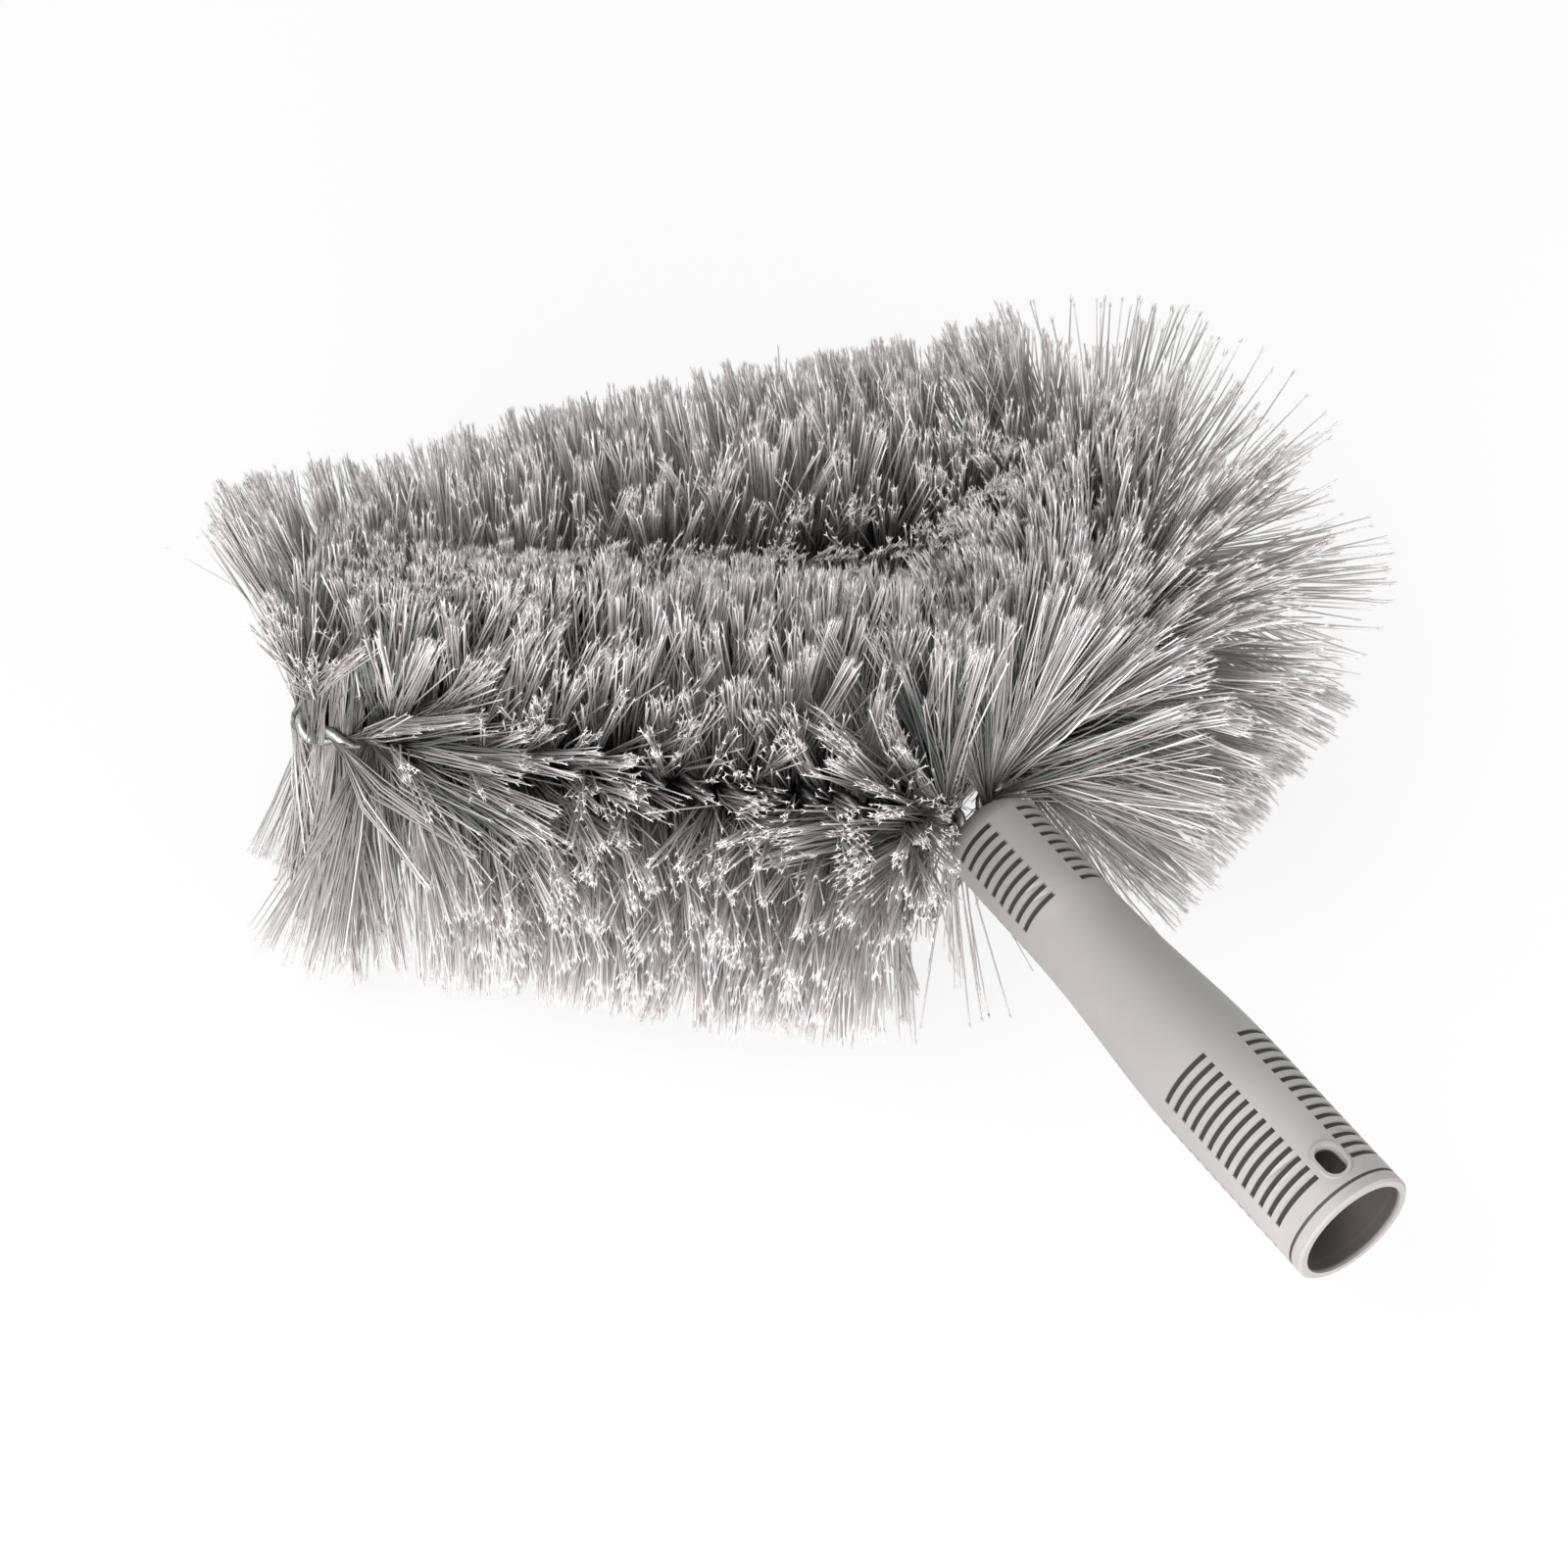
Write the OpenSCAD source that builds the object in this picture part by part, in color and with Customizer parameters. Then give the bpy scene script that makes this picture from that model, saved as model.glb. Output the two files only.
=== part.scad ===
// Cobweb brush: a twisted-wire bristle loop set in the nose of a moulded pole socket.
// The handle lies along Y with its mouth at the origin, and the loop lies in the plane z = 0.

/* [Handle] */
// Length of the handle from its mouth to the tip of its nose
handle_len = 146; // [134:1:160]
// Outside diameter of the gripping barrel
barrel_d = 32; // [31:0.5:36]
// Outside diameter of the neck
neck_d = 25.7; // [24.5:0.1:27]
// Length of the barrel before it begins to taper
barrel_len = 48; // [40:1:50]
// Length of the taper from the barrel to the neck
taper_len = 60; // [50:1:62]
// Length of the domed nose
nose_len = 9; // [7:0.5:11]
// Wall of the taper and of the neck
shell_wall = 2.2; // [1.8:0.1:2.4]
// Bevel round the outside of the mouth
mouth_bevel = 0.6; // [0.3:0.1:1]

/* [Pole socket] */
// Bore diameter of the pole socket
socket_d = 27.6; // [26:0.1:28]
// Depth of the socket from the mouth to its stop ledge
socket_depth = 55; // [45:1:58]
// How far the stop ledge stands into the bore
ledge_step = 1.8; // [1:0.1:2.5]
// Thickness of the stop ledge along the bore
ledge_len = 2.5; // [1.5:0.5:4]
// Distance of the button hole's centre from the mouth
button_hole_y = 10.8; // [9:0.1:14]
// Length of the button hole along the handle
button_hole_len = 8.7; // [8:0.1:10]
// Width of the button hole across the handle
button_hole_w = 6; // [5:0.1:7]
// Width of the raised lip round the button hole
lip_w = 0.9; // [0.6:0.1:1.2]
// Height of the raised lip over the barrel
lip_h = 0.45; // [0.2:0.05:0.8]

/* [Grip grooves] */
// Number of grooves in each column on the barrel
barrel_grooves = 14; // [4:1:16]
// Number of grooves in each column on the neck
neck_grooves = 9; // [3:1:9]
// Distance from one groove to the next
groove_pitch = 3.2; // [2.4:0.1:3.4]
// Width of a groove along the handle
groove_w = 1.5; // [1:0.1:1.8]
// Depth of a groove
groove_depth = 0.65; // [0.3:0.05:0.9]
// Distance of the first barrel groove from the mouth
first_groove_y = 9.5; // [8:0.5:12]
// Half angle of the smooth band between two columns
band_half_angle = 18; // [12:1:26]
// Angle that each column of grooves spans round the handle
column_angle = 58; // [40:1:62]
// Distance of the thin ring groove from the mouth
rim_groove_y = 3.6; // [2:0.1:4]
// Width of the thin ring groove
rim_groove_w = 0.9; // [0.5:0.1:1.2]
// Depth of the thin ring groove
rim_groove_depth = 0.45; // [0.2:0.05:0.7]

/* [Stem anchor] */
// Distance between the middles of the two stems
stem_gap = 8; // [7:0.5:9]
// Length of the plug that holds the stems in the neck
plug_len = 21; // [12:1:22]
// Length of the crimped ferrule behind the plug
ferrule_len = 10; // [6:0.5:12]
// Wall of the crimped ferrule
ferrule_wall = 1.2; // [0.8:0.1:1.6]
// Length of wire that stands out behind the ferrule
stem_tail = 3; // [1:0.5:4]
// Clearance round the stems, the plug and between parts that meet end to end
seat_clear = 0.1; // [0.05:0.01:0.15]

/* [Wire loop] */
// Length of the front arm from the nose to the corner of the kink
front_arm_len = 179.5; // [165:0.5:205]
// Angle of the front arm from the axis of the handle
front_arm_angle = 45.6; // [40:0.1:50]
// Length of the side arm from the nose to the corner of the bend
side_arm_len = 109; // [95:0.5:125]
// Angle of the side arm from the axis of the handle
side_arm_angle = 67.3; // [58:0.1:70]
// How far the corner of the back arm's bow stands out of the straight
back_bow = 9; // [5:0.5:20]
// Radius of the back arm's bow
back_bow_r = 400; // [300:10:500]
// Radius of the sharp kink at the far end of the front arm
kink_r = 5; // [4.5:0.5:7]
// Radius of the bend between the back arm and the side arm
bend_r = 14.5; // [10:0.5:18]
// Radius of the bends where the stems leave the nose
nose_bend_r = 6; // [5:0.5:8]
// Length of stem between the nose and its bend
stem_out = 4.4; // [4:0.1:8]
// Diameter of each wire
wire_d = 2.4; // [2:0.1:2.6]
// Length of one full turn of the twisted pair
twist_pitch = 20; // [18:1:24]

/* [Bristles] */
// Length of a bristle from the middle of the wire to its tip
bristle_reach = 56.5; // [50:0.5:62]
// Distance along the wire from one pair of strands to the next
strand_pitch = 1.9; // [1.9:0.1:2.6]
// Radius of a strand at its root
root_r = 0.42; // [0.35:0.01:0.45]
// Radius of a strand at its tip
tip_r = 0.88; // [0.6:0.01:0.95]
// Width of a strand along the wire as a share of its width across
strand_flatness = 0.8; // [0.6:0.05:1]
// Thickness of the strip of filaments pinched between the wires
strip_t = 0.7; // [0.5:0.05:0.9]
// Width of that strip
strip_w = 4.4; // [3.8:0.1:5]
// Gap between the strip and each wire
strip_clear = 0.2; // [0.15:0.01:0.3]
// Bare wire between the nose bends and the first strands
nose_bare = 3; // [2:0.5:6]
// Depth of the flat cut that the brush stands on
stand_cut = 0.5; // [0.4:0.1:0.8]

/* [Hidden] */

handle_colour = "#aea7a6";
plug_colour = "#8d8886";
wire_colour = "#b9bdbd";
bristle_colour = "#a3a19c";

round_fn = 96;
hole_fn = 48;
overcut = 1;

// The handle's own radii and lengths
barrel_r = barrel_d / 2;
neck_r = neck_d / 2;
socket_r = socket_d / 2;
cavity_r = neck_r - shell_wall;
nose_y = handle_len - nose_len;
taper_end = barrel_len + taper_len;
taper_steps = 16;
dome_steps = 12;
neck_groove_y = nose_y - groove_w / 2 - (neck_grooves - 1) * groove_pitch;

// The twisted pair
wire_r = wire_d / 2;
helix_r = wire_r + strip_t / 2 + strip_clear;
pair_r = helix_r + wire_r;
stem_hole_r = pair_r + seat_clear;
wire_sides = 6;
rings_per_turn = 10;
ring_step = twist_pitch / rings_per_turn;

// Lengths of the anchor along the handle
plug_back = nose_y - plug_len;
ferrule_back = plug_back - seat_clear - ferrule_len;
stem_end_y = ferrule_back - stem_tail;

// Corners of the wire's centreline, from the left stem round the loop to the right stem
leave_y = handle_len + stem_out;
nose_left = [-stem_gap / 2, leave_y];
nose_right = [stem_gap / 2, leave_y];
kink_corner = nose_left + front_arm_len * [-sin(front_arm_angle), cos(front_arm_angle)];
bend_corner = nose_right + side_arm_len * [sin(side_arm_angle), cos(side_arm_angle)];
back_chord = bend_corner - kink_corner;
back_left = [-back_chord.y, back_chord.x] / norm(back_chord);
bow_corner = (kink_corner + bend_corner) / 2 + back_bow * back_left;
corners = [
    [-stem_gap / 2, stem_end_y], nose_left, kink_corner, bow_corner,
    bend_corner, nose_right, [stem_gap / 2, stem_end_y]
];
corner_radii = [0, nose_bend_r, kink_r, back_bow_r, bend_r, nose_bend_r, 0];
last_leg = len(corners) - 2;

// Legs and arcs of the centreline
function leg(i) = corners[i + 1] - corners[i];
function leg_heading(i) = atan2(leg(i).y, leg(i).x);
function wrap(a) = a > 180 ? a - 360 : a < -180 ? a + 360 : a;
function turn(i) = i < 1 || i > last_leg ? 0 : wrap(leg_heading(i) - leg_heading(i - 1));
function tangent_len(i) = corner_radii[i] * tan(abs(turn(i)) / 2);
function line_len(i) = norm(leg(i)) - tangent_len(i) - tangent_len(i + 1);
function arc_len(i) = corner_radii[i] * abs(turn(i)) * PI / 180;
function leg_start(i) = i == 0 ? 0 : leg_start(i - 1) + line_len(i - 1) + arc_len(i);
function leg_end(i) = leg_start(i) + line_len(i);
wire_len = leg_end(last_leg);

function heading_vec(h) = [cos(h), sin(h)];
function left_vec(h) = [-sin(h), cos(h)];

// Place on the centreline at distance s: [x, y, heading]
function on_line(i, s, h) = concat(corners[i] + heading_vec(h) * (tangent_len(i) + s), [h]);
function on_arc(i, s, h, side, r) =
    let (start = corners[i] - heading_vec(h) * tangent_len(i), now = h + side * s / r * 180 / PI)
    concat(start + side * r * (left_vec(h) - left_vec(now)), [now]);
function place(s, i = 0) =
    s <= line_len(i) || i == last_leg ? on_line(i, s, leg_heading(i)) :
    s <= line_len(i) + arc_len(i + 1)
        ? on_arc(i + 1, s - line_len(i), leg_heading(i), sign(turn(i + 1)), corner_radii[i + 1])
        : place(s - line_len(i) - arc_len(i + 1), i + 1);

// Vectors of the centreline's frame in space
function ahead(p) = [cos(p[2]), sin(p[2]), 0];
function outward(p) = [-sin(p[2]), cos(p[2]), 0];
function middle(p) = [p[0], p[1], 0];
function spoke(p, a) = cos(a) * outward(p) + [0, 0, sin(a)];
function phase(s) = 360 * s / twist_pitch;
function unit(v) = v / norm(v);

// Faces of a tube whose rings all have the same number of points
function tube_sides(rings, n) = [
    for (i = [0 : rings - 2], j = [0 : n - 1], half = [0, 1])
        let (a = i * n + j, b = i * n + (j + 1) % n)
        half == 0 ? [a, b + n, b] : [a, a + n, b + n]
];
function tube_cap(first, n, flip) = [
    for (j = [1 : n - 2]) flip ? [first, first + j + 1, first + j] : [first, first + j, first + j + 1]
];
function tube_faces(rings, n) =
    concat(tube_sides(rings, n), tube_cap(0, n, false), tube_cap((rings - 1) * n, n, true));

// One wire of the pair: its middle winds round the centreline, half a turn from the other one
wire_rings = ceil(wire_len / ring_step) + 1;
function wire_middle(s, offset) =
    let (p = place(s)) middle(p) + helix_r * spoke(p, phase(s) + offset);
function wire_ring(s, offset) =
    let (
        p = place(s),
        a = phase(s) + offset,
        slope = 2 * PI * helix_r / twist_pitch,
        along = unit(ahead(p) + slope * spoke(p, a + 90)),
        out = spoke(p, a),
        across = cross(out, along)
    )
    [for (j = [0 : wire_sides - 1])
        wire_middle(s, offset) + wire_r * (cos(j * 360 / wire_sides) * out
            - sin(j * 360 / wire_sides) * across)];
function wire_s(i) = wire_len * i / (wire_rings - 1);

// The three cells of the loop, parted by the bisectors of its corners
triangle = [[0, leave_y], kink_corner, bend_corner];
side_a = norm(triangle[1] - triangle[2]);
side_b = norm(triangle[2] - triangle[0]);
side_c = norm(triangle[0] - triangle[1]);
loop_middle = (side_a * triangle[0] + side_b * triangle[1] + side_c * triangle[2])
    / (side_a + side_b + side_c);
cell_margin = 1.2;
function past(corner, p) =
    let (d = loop_middle - corner, e = p - corner) (d.x * e.y - d.y * e.x) / norm(d);
// Each arm's number is the corner at which it starts
front_arm = 0;
back_arm = 1;
side_arm = 2;
function room(arm, p) =
    let (q = [p.x, p.y], here = triangle[arm], next = triangle[(arm + 1) % len(triangle)])
    min(past(here, q), -past(next, q));
// How far a strand runs before it comes to the edge of its arm's cell
reach_step = 1;
function reach(arm, from, dir, t = 0) =
    t >= bristle_reach ? bristle_reach :
    room(arm, from + t * dir) < cell_margin ? max(0, t - reach_step) :
    reach(arm, from, dir, t + reach_step);

// Strands: the straight ones end at their cell, and those with little room bend up or down
short_share = 0.45;
knee_reach = 8;
settle_step = 5;
least_knee = pair_r + 2 * root_r;
jitter_angle = 9;
length_jitter = 0.05;
function settle(arm, p, a) =
    abs(cos(a)) < sin(settle_step) || room(arm, middle(p) + bristle_reach * spoke(p, a)) >= cell_margin
        ? a
        : settle(arm, p, a + (sin(a) * cos(a) < 0 ? -settle_step : settle_step));

// Four corners round a strand's axis at distance d and angle a, none below the stand
stand_z = stand_cut - bristle_reach;
strand_outline = [[1, -1], [1, 1], [-1, 1], [-1, -1]];
strand_n = len(strand_outline);
function raised(v) = [v.x, v.y, max(v.z, stand_z)];
function strand_ring(p, d, a, lean) =
    let (r = root_r + (tip_r - root_r) * d / bristle_reach, across = spoke(p, lean - 90))
    [for (c = strand_outline)
        raised(middle(p) + d * spoke(p, a) + r * (c.x * across + c.y * strand_flatness * ahead(p)))];
function strand_rings(arm, p, a, share) =
    let (
        free = cos(a) >= 0 ? bristle_reach : reach(arm, middle(p), spoke(p, a)),
        knee = min(knee_reach, free),
        full = share * bristle_reach,
        settled = settle(arm, p, a)
    )
    free > short_share * bristle_reach ? [strand_ring(p, min(free, full), a, a)] :
    knee < least_knee ? [] :
    [strand_ring(p, knee, a, (a + settled) / 2), strand_ring(p, full, settled, settled)];

// Outline of the pinched strip at distance s: points 0 and 1 are one edge, 3 and 4 the other
strip_outline = [[1, 1], [-1, 1], [-1, 0], [-1, -1], [1, -1], [1, 0]];
strip_n = len(strip_outline);
function strip_ring(s) =
    let (p = place(s), u = strip_t / 2 * spoke(p, phase(s)), v = strip_w / 2 * spoke(p, phase(s) + 90))
    [for (c = strip_outline) middle(p) + c.x * u + c.y * v];
function strip_end(first) =
    concat(lid([first, first + 1, first + 2, first + 5]), lid([first + 5, first + 2, first + 3, first + 4]));
// Both broad faces are split along like diagonals, so that the thin strip can't cut itself
function strip_side(i, j) =
    let (a = strip_n * i + j, b = strip_n * i + (j + 1) % strip_n)
    j == 1 || j == 4 ? lid([a, a + strip_n, b + strip_n, b]) : lid([b, a, a + strip_n, b + strip_n]);

function quad(first) = [for (m = [0 : strand_n - 1]) first + m];
function wall(low, high) = [
    for (m = [0 : strand_n - 1], half = [0, 1])
        let (n = (m + 1) % strand_n)
        half == 0 ? [low[m], low[n], high[n]] : [low[m], high[n], high[m]]
];
function lid(q) = [[q[0], q[1], q[2]], [q[0], q[2], q[3]]];
function strand_faces(base, first, rings) =
    let (knee = quad(first), tip = quad(first + strand_n))
    rings == 0 ? lid(base) :
    rings == 1 ? concat(wall(base, knee), lid(knee)) :
    concat(wall(base, knee), wall(knee, tip), lid(tip));

// Seeds of the strands' small differences
front_seed = 11;
back_seed = 23;
bend_seed = 37;
side_seed = 41;
length_seed = 100;

// Stretches of wire that carry strands: [arm, start, end, number of sections, seed]
front = [front_arm, leg_start(1) + nose_bare, leg_end(1), 5, front_seed];
back = [back_arm, leg_start(2), leg_end(3), 6, back_seed];
bend = [back_arm, leg_end(3), leg_start(4), 1, bend_seed];
side = [side_arm, leg_start(4), leg_end(4) - nose_bare, 2, side_seed];

module wire(offset) {
    rings = [for (i = [0 : wire_rings - 1]) wire_ring(wire_s(i), offset)];
    polyhedron([for (ring = rings) each ring], tube_faces(wire_rings, wire_sides), convexity = 10);
}

// One section of a stretch: a slice of the pinched strip with its strands, all one skin
module bristle_section(stretch, index) {
    arm = stretch[0];
    seed = stretch[4] + index;
    len_each = (stretch[2] - stretch[1]) / stretch[3];
    from = stretch[1] + (index - 1) * len_each + seat_clear;
    pairs = round(len_each / strand_pitch);
    step = (len_each - 2 * seat_clear) / pairs;
    turns = rands(-jitter_angle, jitter_angle, 2 * pairs, seed);
    cuts = rands(0, length_jitter, 2 * pairs, seed + length_seed);
    strip_points = [for (i = [0 : pairs]) each strip_ring(from + i * step)];
    strands = [
        for (k = [0 : pairs - 1], half = [0, 1])
            let (
                s = from + (k + 0.5) * step,
                a = phase(s) + 90 + 180 * half + turns[2 * k + half],
                inside_bend = stretch == bend && cos(a) < -sin(settle_step)
            )
            inside_bend ? [] : strand_rings(arm, place(s), a, sin(a) < 0 ? 1 : 1 - cuts[2 * k + half])
    ];
    firsts = [
        for (
            i = 0, at = len(strip_points);
            i < len(strands);
            at = at + strand_n * len(strands[i]), i = i + 1
        )
        at
    ];
    strip_sides = [for (i = [0 : pairs - 1], j = [1, 2, 4, 5]) each strip_side(i, j)];
    strand_sides = [for (k = [0 : pairs - 1], half = [0, 1]) each
        let (a = strip_n * k + 3 * half, b = a + 1, n = 2 * k + half)
        strand_faces([a, a + strip_n, b + strip_n, b], firsts[n], len(strands[n]))];
    ends = concat(strip_end(0), [for (f = strip_end(strip_n * pairs)) [f[0], f[2], f[1]]]);
    color(bristle_colour) polyhedron(
        concat(strip_points, [for (rings = strands, ring = rings) each ring]),
        concat(strip_sides, strand_sides, ends),
        convexity = 10
    );
}

// Radius of the handle's outside at distance y from the mouth
function handle_r(y) =
    y <= barrel_len ? barrel_r :
    y >= taper_end ? neck_r :
    barrel_r - (barrel_r - neck_r) * (1 - cos(180 * (y - barrel_len) / taper_len)) / 2;
function taper_y(i) = barrel_len + taper_len * i / taper_steps;

// Turns a shape that is drawn along Z so that it lies along the handle, its front side up
module along_handle() {
    rotate([-90, 0, 0]) children();
}

module handle_blank() {
    rotate_extrude($fn = round_fn)
        polygon(concat(
            [[0, 0], [barrel_r - mouth_bevel, 0], [barrel_r, mouth_bevel]],
            [for (i = [0 : taper_steps]) [handle_r(taper_y(i)), taper_y(i)]],
            [for (i = [0 : dome_steps])
                [neck_r * cos(90 * i / dome_steps), nose_y + nose_len * sin(90 * i / dome_steps)]]
        ));
}

module handle_cavity() {
    ledge_y = socket_depth + ledge_len;
    cavity_steps = 10;
    translate([0, 0, -overcut]) cylinder(h = socket_depth + overcut, r = socket_r, $fn = round_fn);
    translate([0, 0, socket_depth - overcut])
        cylinder(h = ledge_len + 2 * overcut, r = socket_r - ledge_step, $fn = round_fn);
    rotate_extrude($fn = round_fn)
        polygon(concat(
            [[0, ledge_y]],
            [for (i = [0 : cavity_steps])
                let (y = ledge_y + (taper_end - ledge_y) * i / cavity_steps)
                [handle_r(y) - shell_wall, y]],
            [[cavity_r, nose_y], [0, nose_y]]
        ));
}

module stadium(length, width) {
    run = (length - width) / 2;
    square([width, 2 * run], center = true);
    for (side = [-1, 1]) translate([0, side * run]) circle(d = width, $fn = hole_fn);
}

// A column that stands on the button hole's centre, drawn in the handle's own direction
module over_button_hole(low, high, grow) {
    translate([0, button_hole_y, low]) linear_extrude(high - low)
        stadium(button_hole_len + 2 * grow, button_hole_w + 2 * grow);
}

module groove_ring(y, depth, width) {
    translate([0, 0, y - width / 2]) difference() {
        cylinder(h = width, r = handle_r(y) + overcut, $fn = round_fn);
        translate([0, 0, -overcut])
            cylinder(h = width + 2 * overcut, r = handle_r(y) - depth, $fn = round_fn);
    }
}

module groove_arc(y, from) {
    rotate([0, 0, from]) rotate_extrude(angle = column_angle, $fn = round_fn)
        translate([handle_r(y) - groove_depth, y - groove_w / 2])
            square([groove_depth + overcut, groove_w]);
}

module groove_columns(start, count) {
    for (i = [0 : count - 1], face = [-90, 90], side = [0, 1])
        groove_arc(start + i * groove_pitch,
            face + (side == 0 ? band_half_angle : -band_half_angle - column_angle));
}

module stem_holes(low, high) {
    for (side = [-1, 1])
        translate([side * stem_gap / 2, 0, low]) cylinder(h = high - low, r = stem_hole_r, $fn = hole_fn);
}

module handle() {
    lip_top = barrel_r + lip_h;
    color(handle_colour) difference() {
        union() {
            along_handle() handle_blank();
            over_button_hole(socket_r, lip_top, lip_w);
        }
        along_handle() {
            handle_cavity();
            groove_columns(first_groove_y, barrel_grooves);
            groove_columns(neck_groove_y, neck_grooves);
            groove_ring(rim_groove_y, rim_groove_depth, rim_groove_w);
            stem_holes(nose_y - overcut, handle_len + overcut);
        }
        over_button_hole(socket_r / 2, lip_top + overcut, 0);
    }
}

module stem_plug() {
    color(plug_colour) along_handle() difference() {
        translate([0, 0, plug_back])
            cylinder(h = plug_len - seat_clear, r = cavity_r - seat_clear, $fn = round_fn);
        stem_holes(plug_back - overcut, nose_y + overcut);
    }
}

module ferrule_outline(r) {
    square([stem_gap, 2 * r], center = true);
    for (side = [-1, 1]) translate([side * stem_gap / 2, 0]) circle(r = r, $fn = hole_fn);
}

module crimp_ferrule() {
    color(wire_colour) along_handle() translate([0, 0, ferrule_back]) difference() {
        linear_extrude(ferrule_len) ferrule_outline(stem_hole_r + ferrule_wall);
        translate([0, 0, -overcut]) linear_extrude(ferrule_len + 2 * overcut) ferrule_outline(stem_hole_r);
    }
}

module wire_strand_a() {
    color(wire_colour) wire(0);
}

module wire_strand_b() {
    color(wire_colour) wire(180);
}

handle();
stem_plug();
crimp_ferrule();
wire_strand_a();
wire_strand_b();
bristle_section(front, 1);  // bristles_front_1
bristle_section(front, 2);  // bristles_front_2
bristle_section(front, 3);  // bristles_front_3
bristle_section(front, 4);  // bristles_front_4
bristle_section(front, 5);  // bristles_front_5
bristle_section(back, 1);  // bristles_back_1
bristle_section(back, 2);  // bristles_back_2
bristle_section(back, 3);  // bristles_back_3
bristle_section(back, 4);  // bristles_back_4
bristle_section(back, 5);  // bristles_back_5
bristle_section(back, 6);  // bristles_back_6
bristle_section(bend, 1);  // bristles_bend
bristle_section(side, 1);  // bristles_side_1
bristle_section(side, 2);  // bristles_side_2
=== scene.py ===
"""Cobweb brush: a loop of twisted wire full of plastic filaments, in the nose of a moulded pole socket.

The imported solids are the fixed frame. The handle, the plug and the ferrule keep their solids and get
their finishes here. The two wires are drawn round, and each section of bristles is grown as thousands of
filaments with split tips, along the same loop as the solids have. Lengths are in metres and angles in
radians, unless a docstring or a name says otherwise.
"""

import logging
import math
from dataclasses import dataclass, field
from enum import Enum

import bpy
import numpy as np
from mathutils import Matrix, Vector


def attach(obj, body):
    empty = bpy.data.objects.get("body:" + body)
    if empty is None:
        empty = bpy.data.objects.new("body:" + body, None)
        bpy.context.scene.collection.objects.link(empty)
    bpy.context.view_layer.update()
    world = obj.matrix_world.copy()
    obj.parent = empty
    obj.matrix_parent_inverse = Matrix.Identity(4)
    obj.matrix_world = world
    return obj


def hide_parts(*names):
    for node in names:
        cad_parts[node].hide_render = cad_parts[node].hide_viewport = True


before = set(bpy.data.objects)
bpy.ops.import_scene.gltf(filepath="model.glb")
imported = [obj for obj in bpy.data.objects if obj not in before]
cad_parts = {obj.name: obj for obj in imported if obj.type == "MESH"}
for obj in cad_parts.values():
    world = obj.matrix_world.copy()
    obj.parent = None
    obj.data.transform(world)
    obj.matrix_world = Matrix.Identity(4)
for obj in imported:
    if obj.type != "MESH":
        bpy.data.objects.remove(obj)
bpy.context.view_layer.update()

log = logging.getLogger("cobweb_brush")

MM = 0.001
BODY = "root"
WHITE = (1.0, 1.0, 1.0, 1.0)
Colour = tuple[float, float, float]
Range = tuple[float, float]
Numbers = np.ndarray


class Slot(Enum):
    """The record's material slots."""

    HANDLE = "handle_plastic"
    PLUG = "plug_plastic"
    STEEL = "galvanised_steel"
    BRISTLE = "bristle_filament"


class Arm(Enum):
    """The three arms of the loop. The value is the corner at which it starts, clockwise from the nose."""

    FRONT = 0
    BACK = 1
    SIDE = 2


# Shader sockets and node trees


class Value:
    """A socket in a node tree, for expressions in Python that add Math nodes."""

    def __init__(self, sheet: "Sheet", socket: bpy.types.NodeSocket) -> None:
        """Keeps the sheet that new nodes go into.

        Args:
            sheet: the node sheet of the material.
            socket: the output socket that this value stands for.
        """
        self.sheet = sheet
        self.socket = socket

    def maths(self, operation: str, *others: "Value | float") -> "Value":
        """Adds one Math node.

        Args:
            operation: the node's operation.
            others: the second and third inputs.

        Returns:
            The node's output.
        """
        inputs = dict(enumerate((self, *others)))
        made = self.sheet.node("ShaderNodeMath", {"operation": operation}, inputs)
        return Value(self.sheet, made.outputs[0])

    def _reflected(self, operation: str, other: float) -> "Value":
        """One Math node with a number as its first input."""
        made = self.sheet.node("ShaderNodeMath", {"operation": operation}, {0: other, 1: self})
        return Value(self.sheet, made.outputs[0])

    def __add__(self, other: "Value | float") -> "Value":
        """Sum."""
        return self.maths("ADD", other)

    def __radd__(self, other: float) -> "Value":
        """Sum with a number first."""
        return self._reflected("ADD", other)

    def __sub__(self, other: "Value | float") -> "Value":
        """Difference."""
        return self.maths("SUBTRACT", other)

    def __rsub__(self, other: float) -> "Value":
        """Difference from a number."""
        return self._reflected("SUBTRACT", other)

    def __mul__(self, other: "Value | float") -> "Value":
        """Product."""
        return self.maths("MULTIPLY", other)

    def __rmul__(self, other: float) -> "Value":
        """Product with a number first."""
        return self._reflected("MULTIPLY", other)

    def __truediv__(self, other: "Value | float") -> "Value":
        """Quotient."""
        return self.maths("DIVIDE", other)

    def __rtruediv__(self, other: float) -> "Value":
        """Quotient of a number."""
        return self._reflected("DIVIDE", other)

    def step(self, low: float, high: float) -> "Value":
        """Rises smoothly from 0 at low to 1 at high.

        Args:
            low: where the rise begins.
            high: where it ends. It may be below low, for a fall.

        Returns:
            The smooth step.
        """
        settings = {"interpolation_type": "SMOOTHSTEP"}
        inputs = {"Value": self, "From Min": low, "From Max": high}
        return Value(self.sheet, self.sheet.node("ShaderNodeMapRange", settings, inputs).outputs[0])


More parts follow.
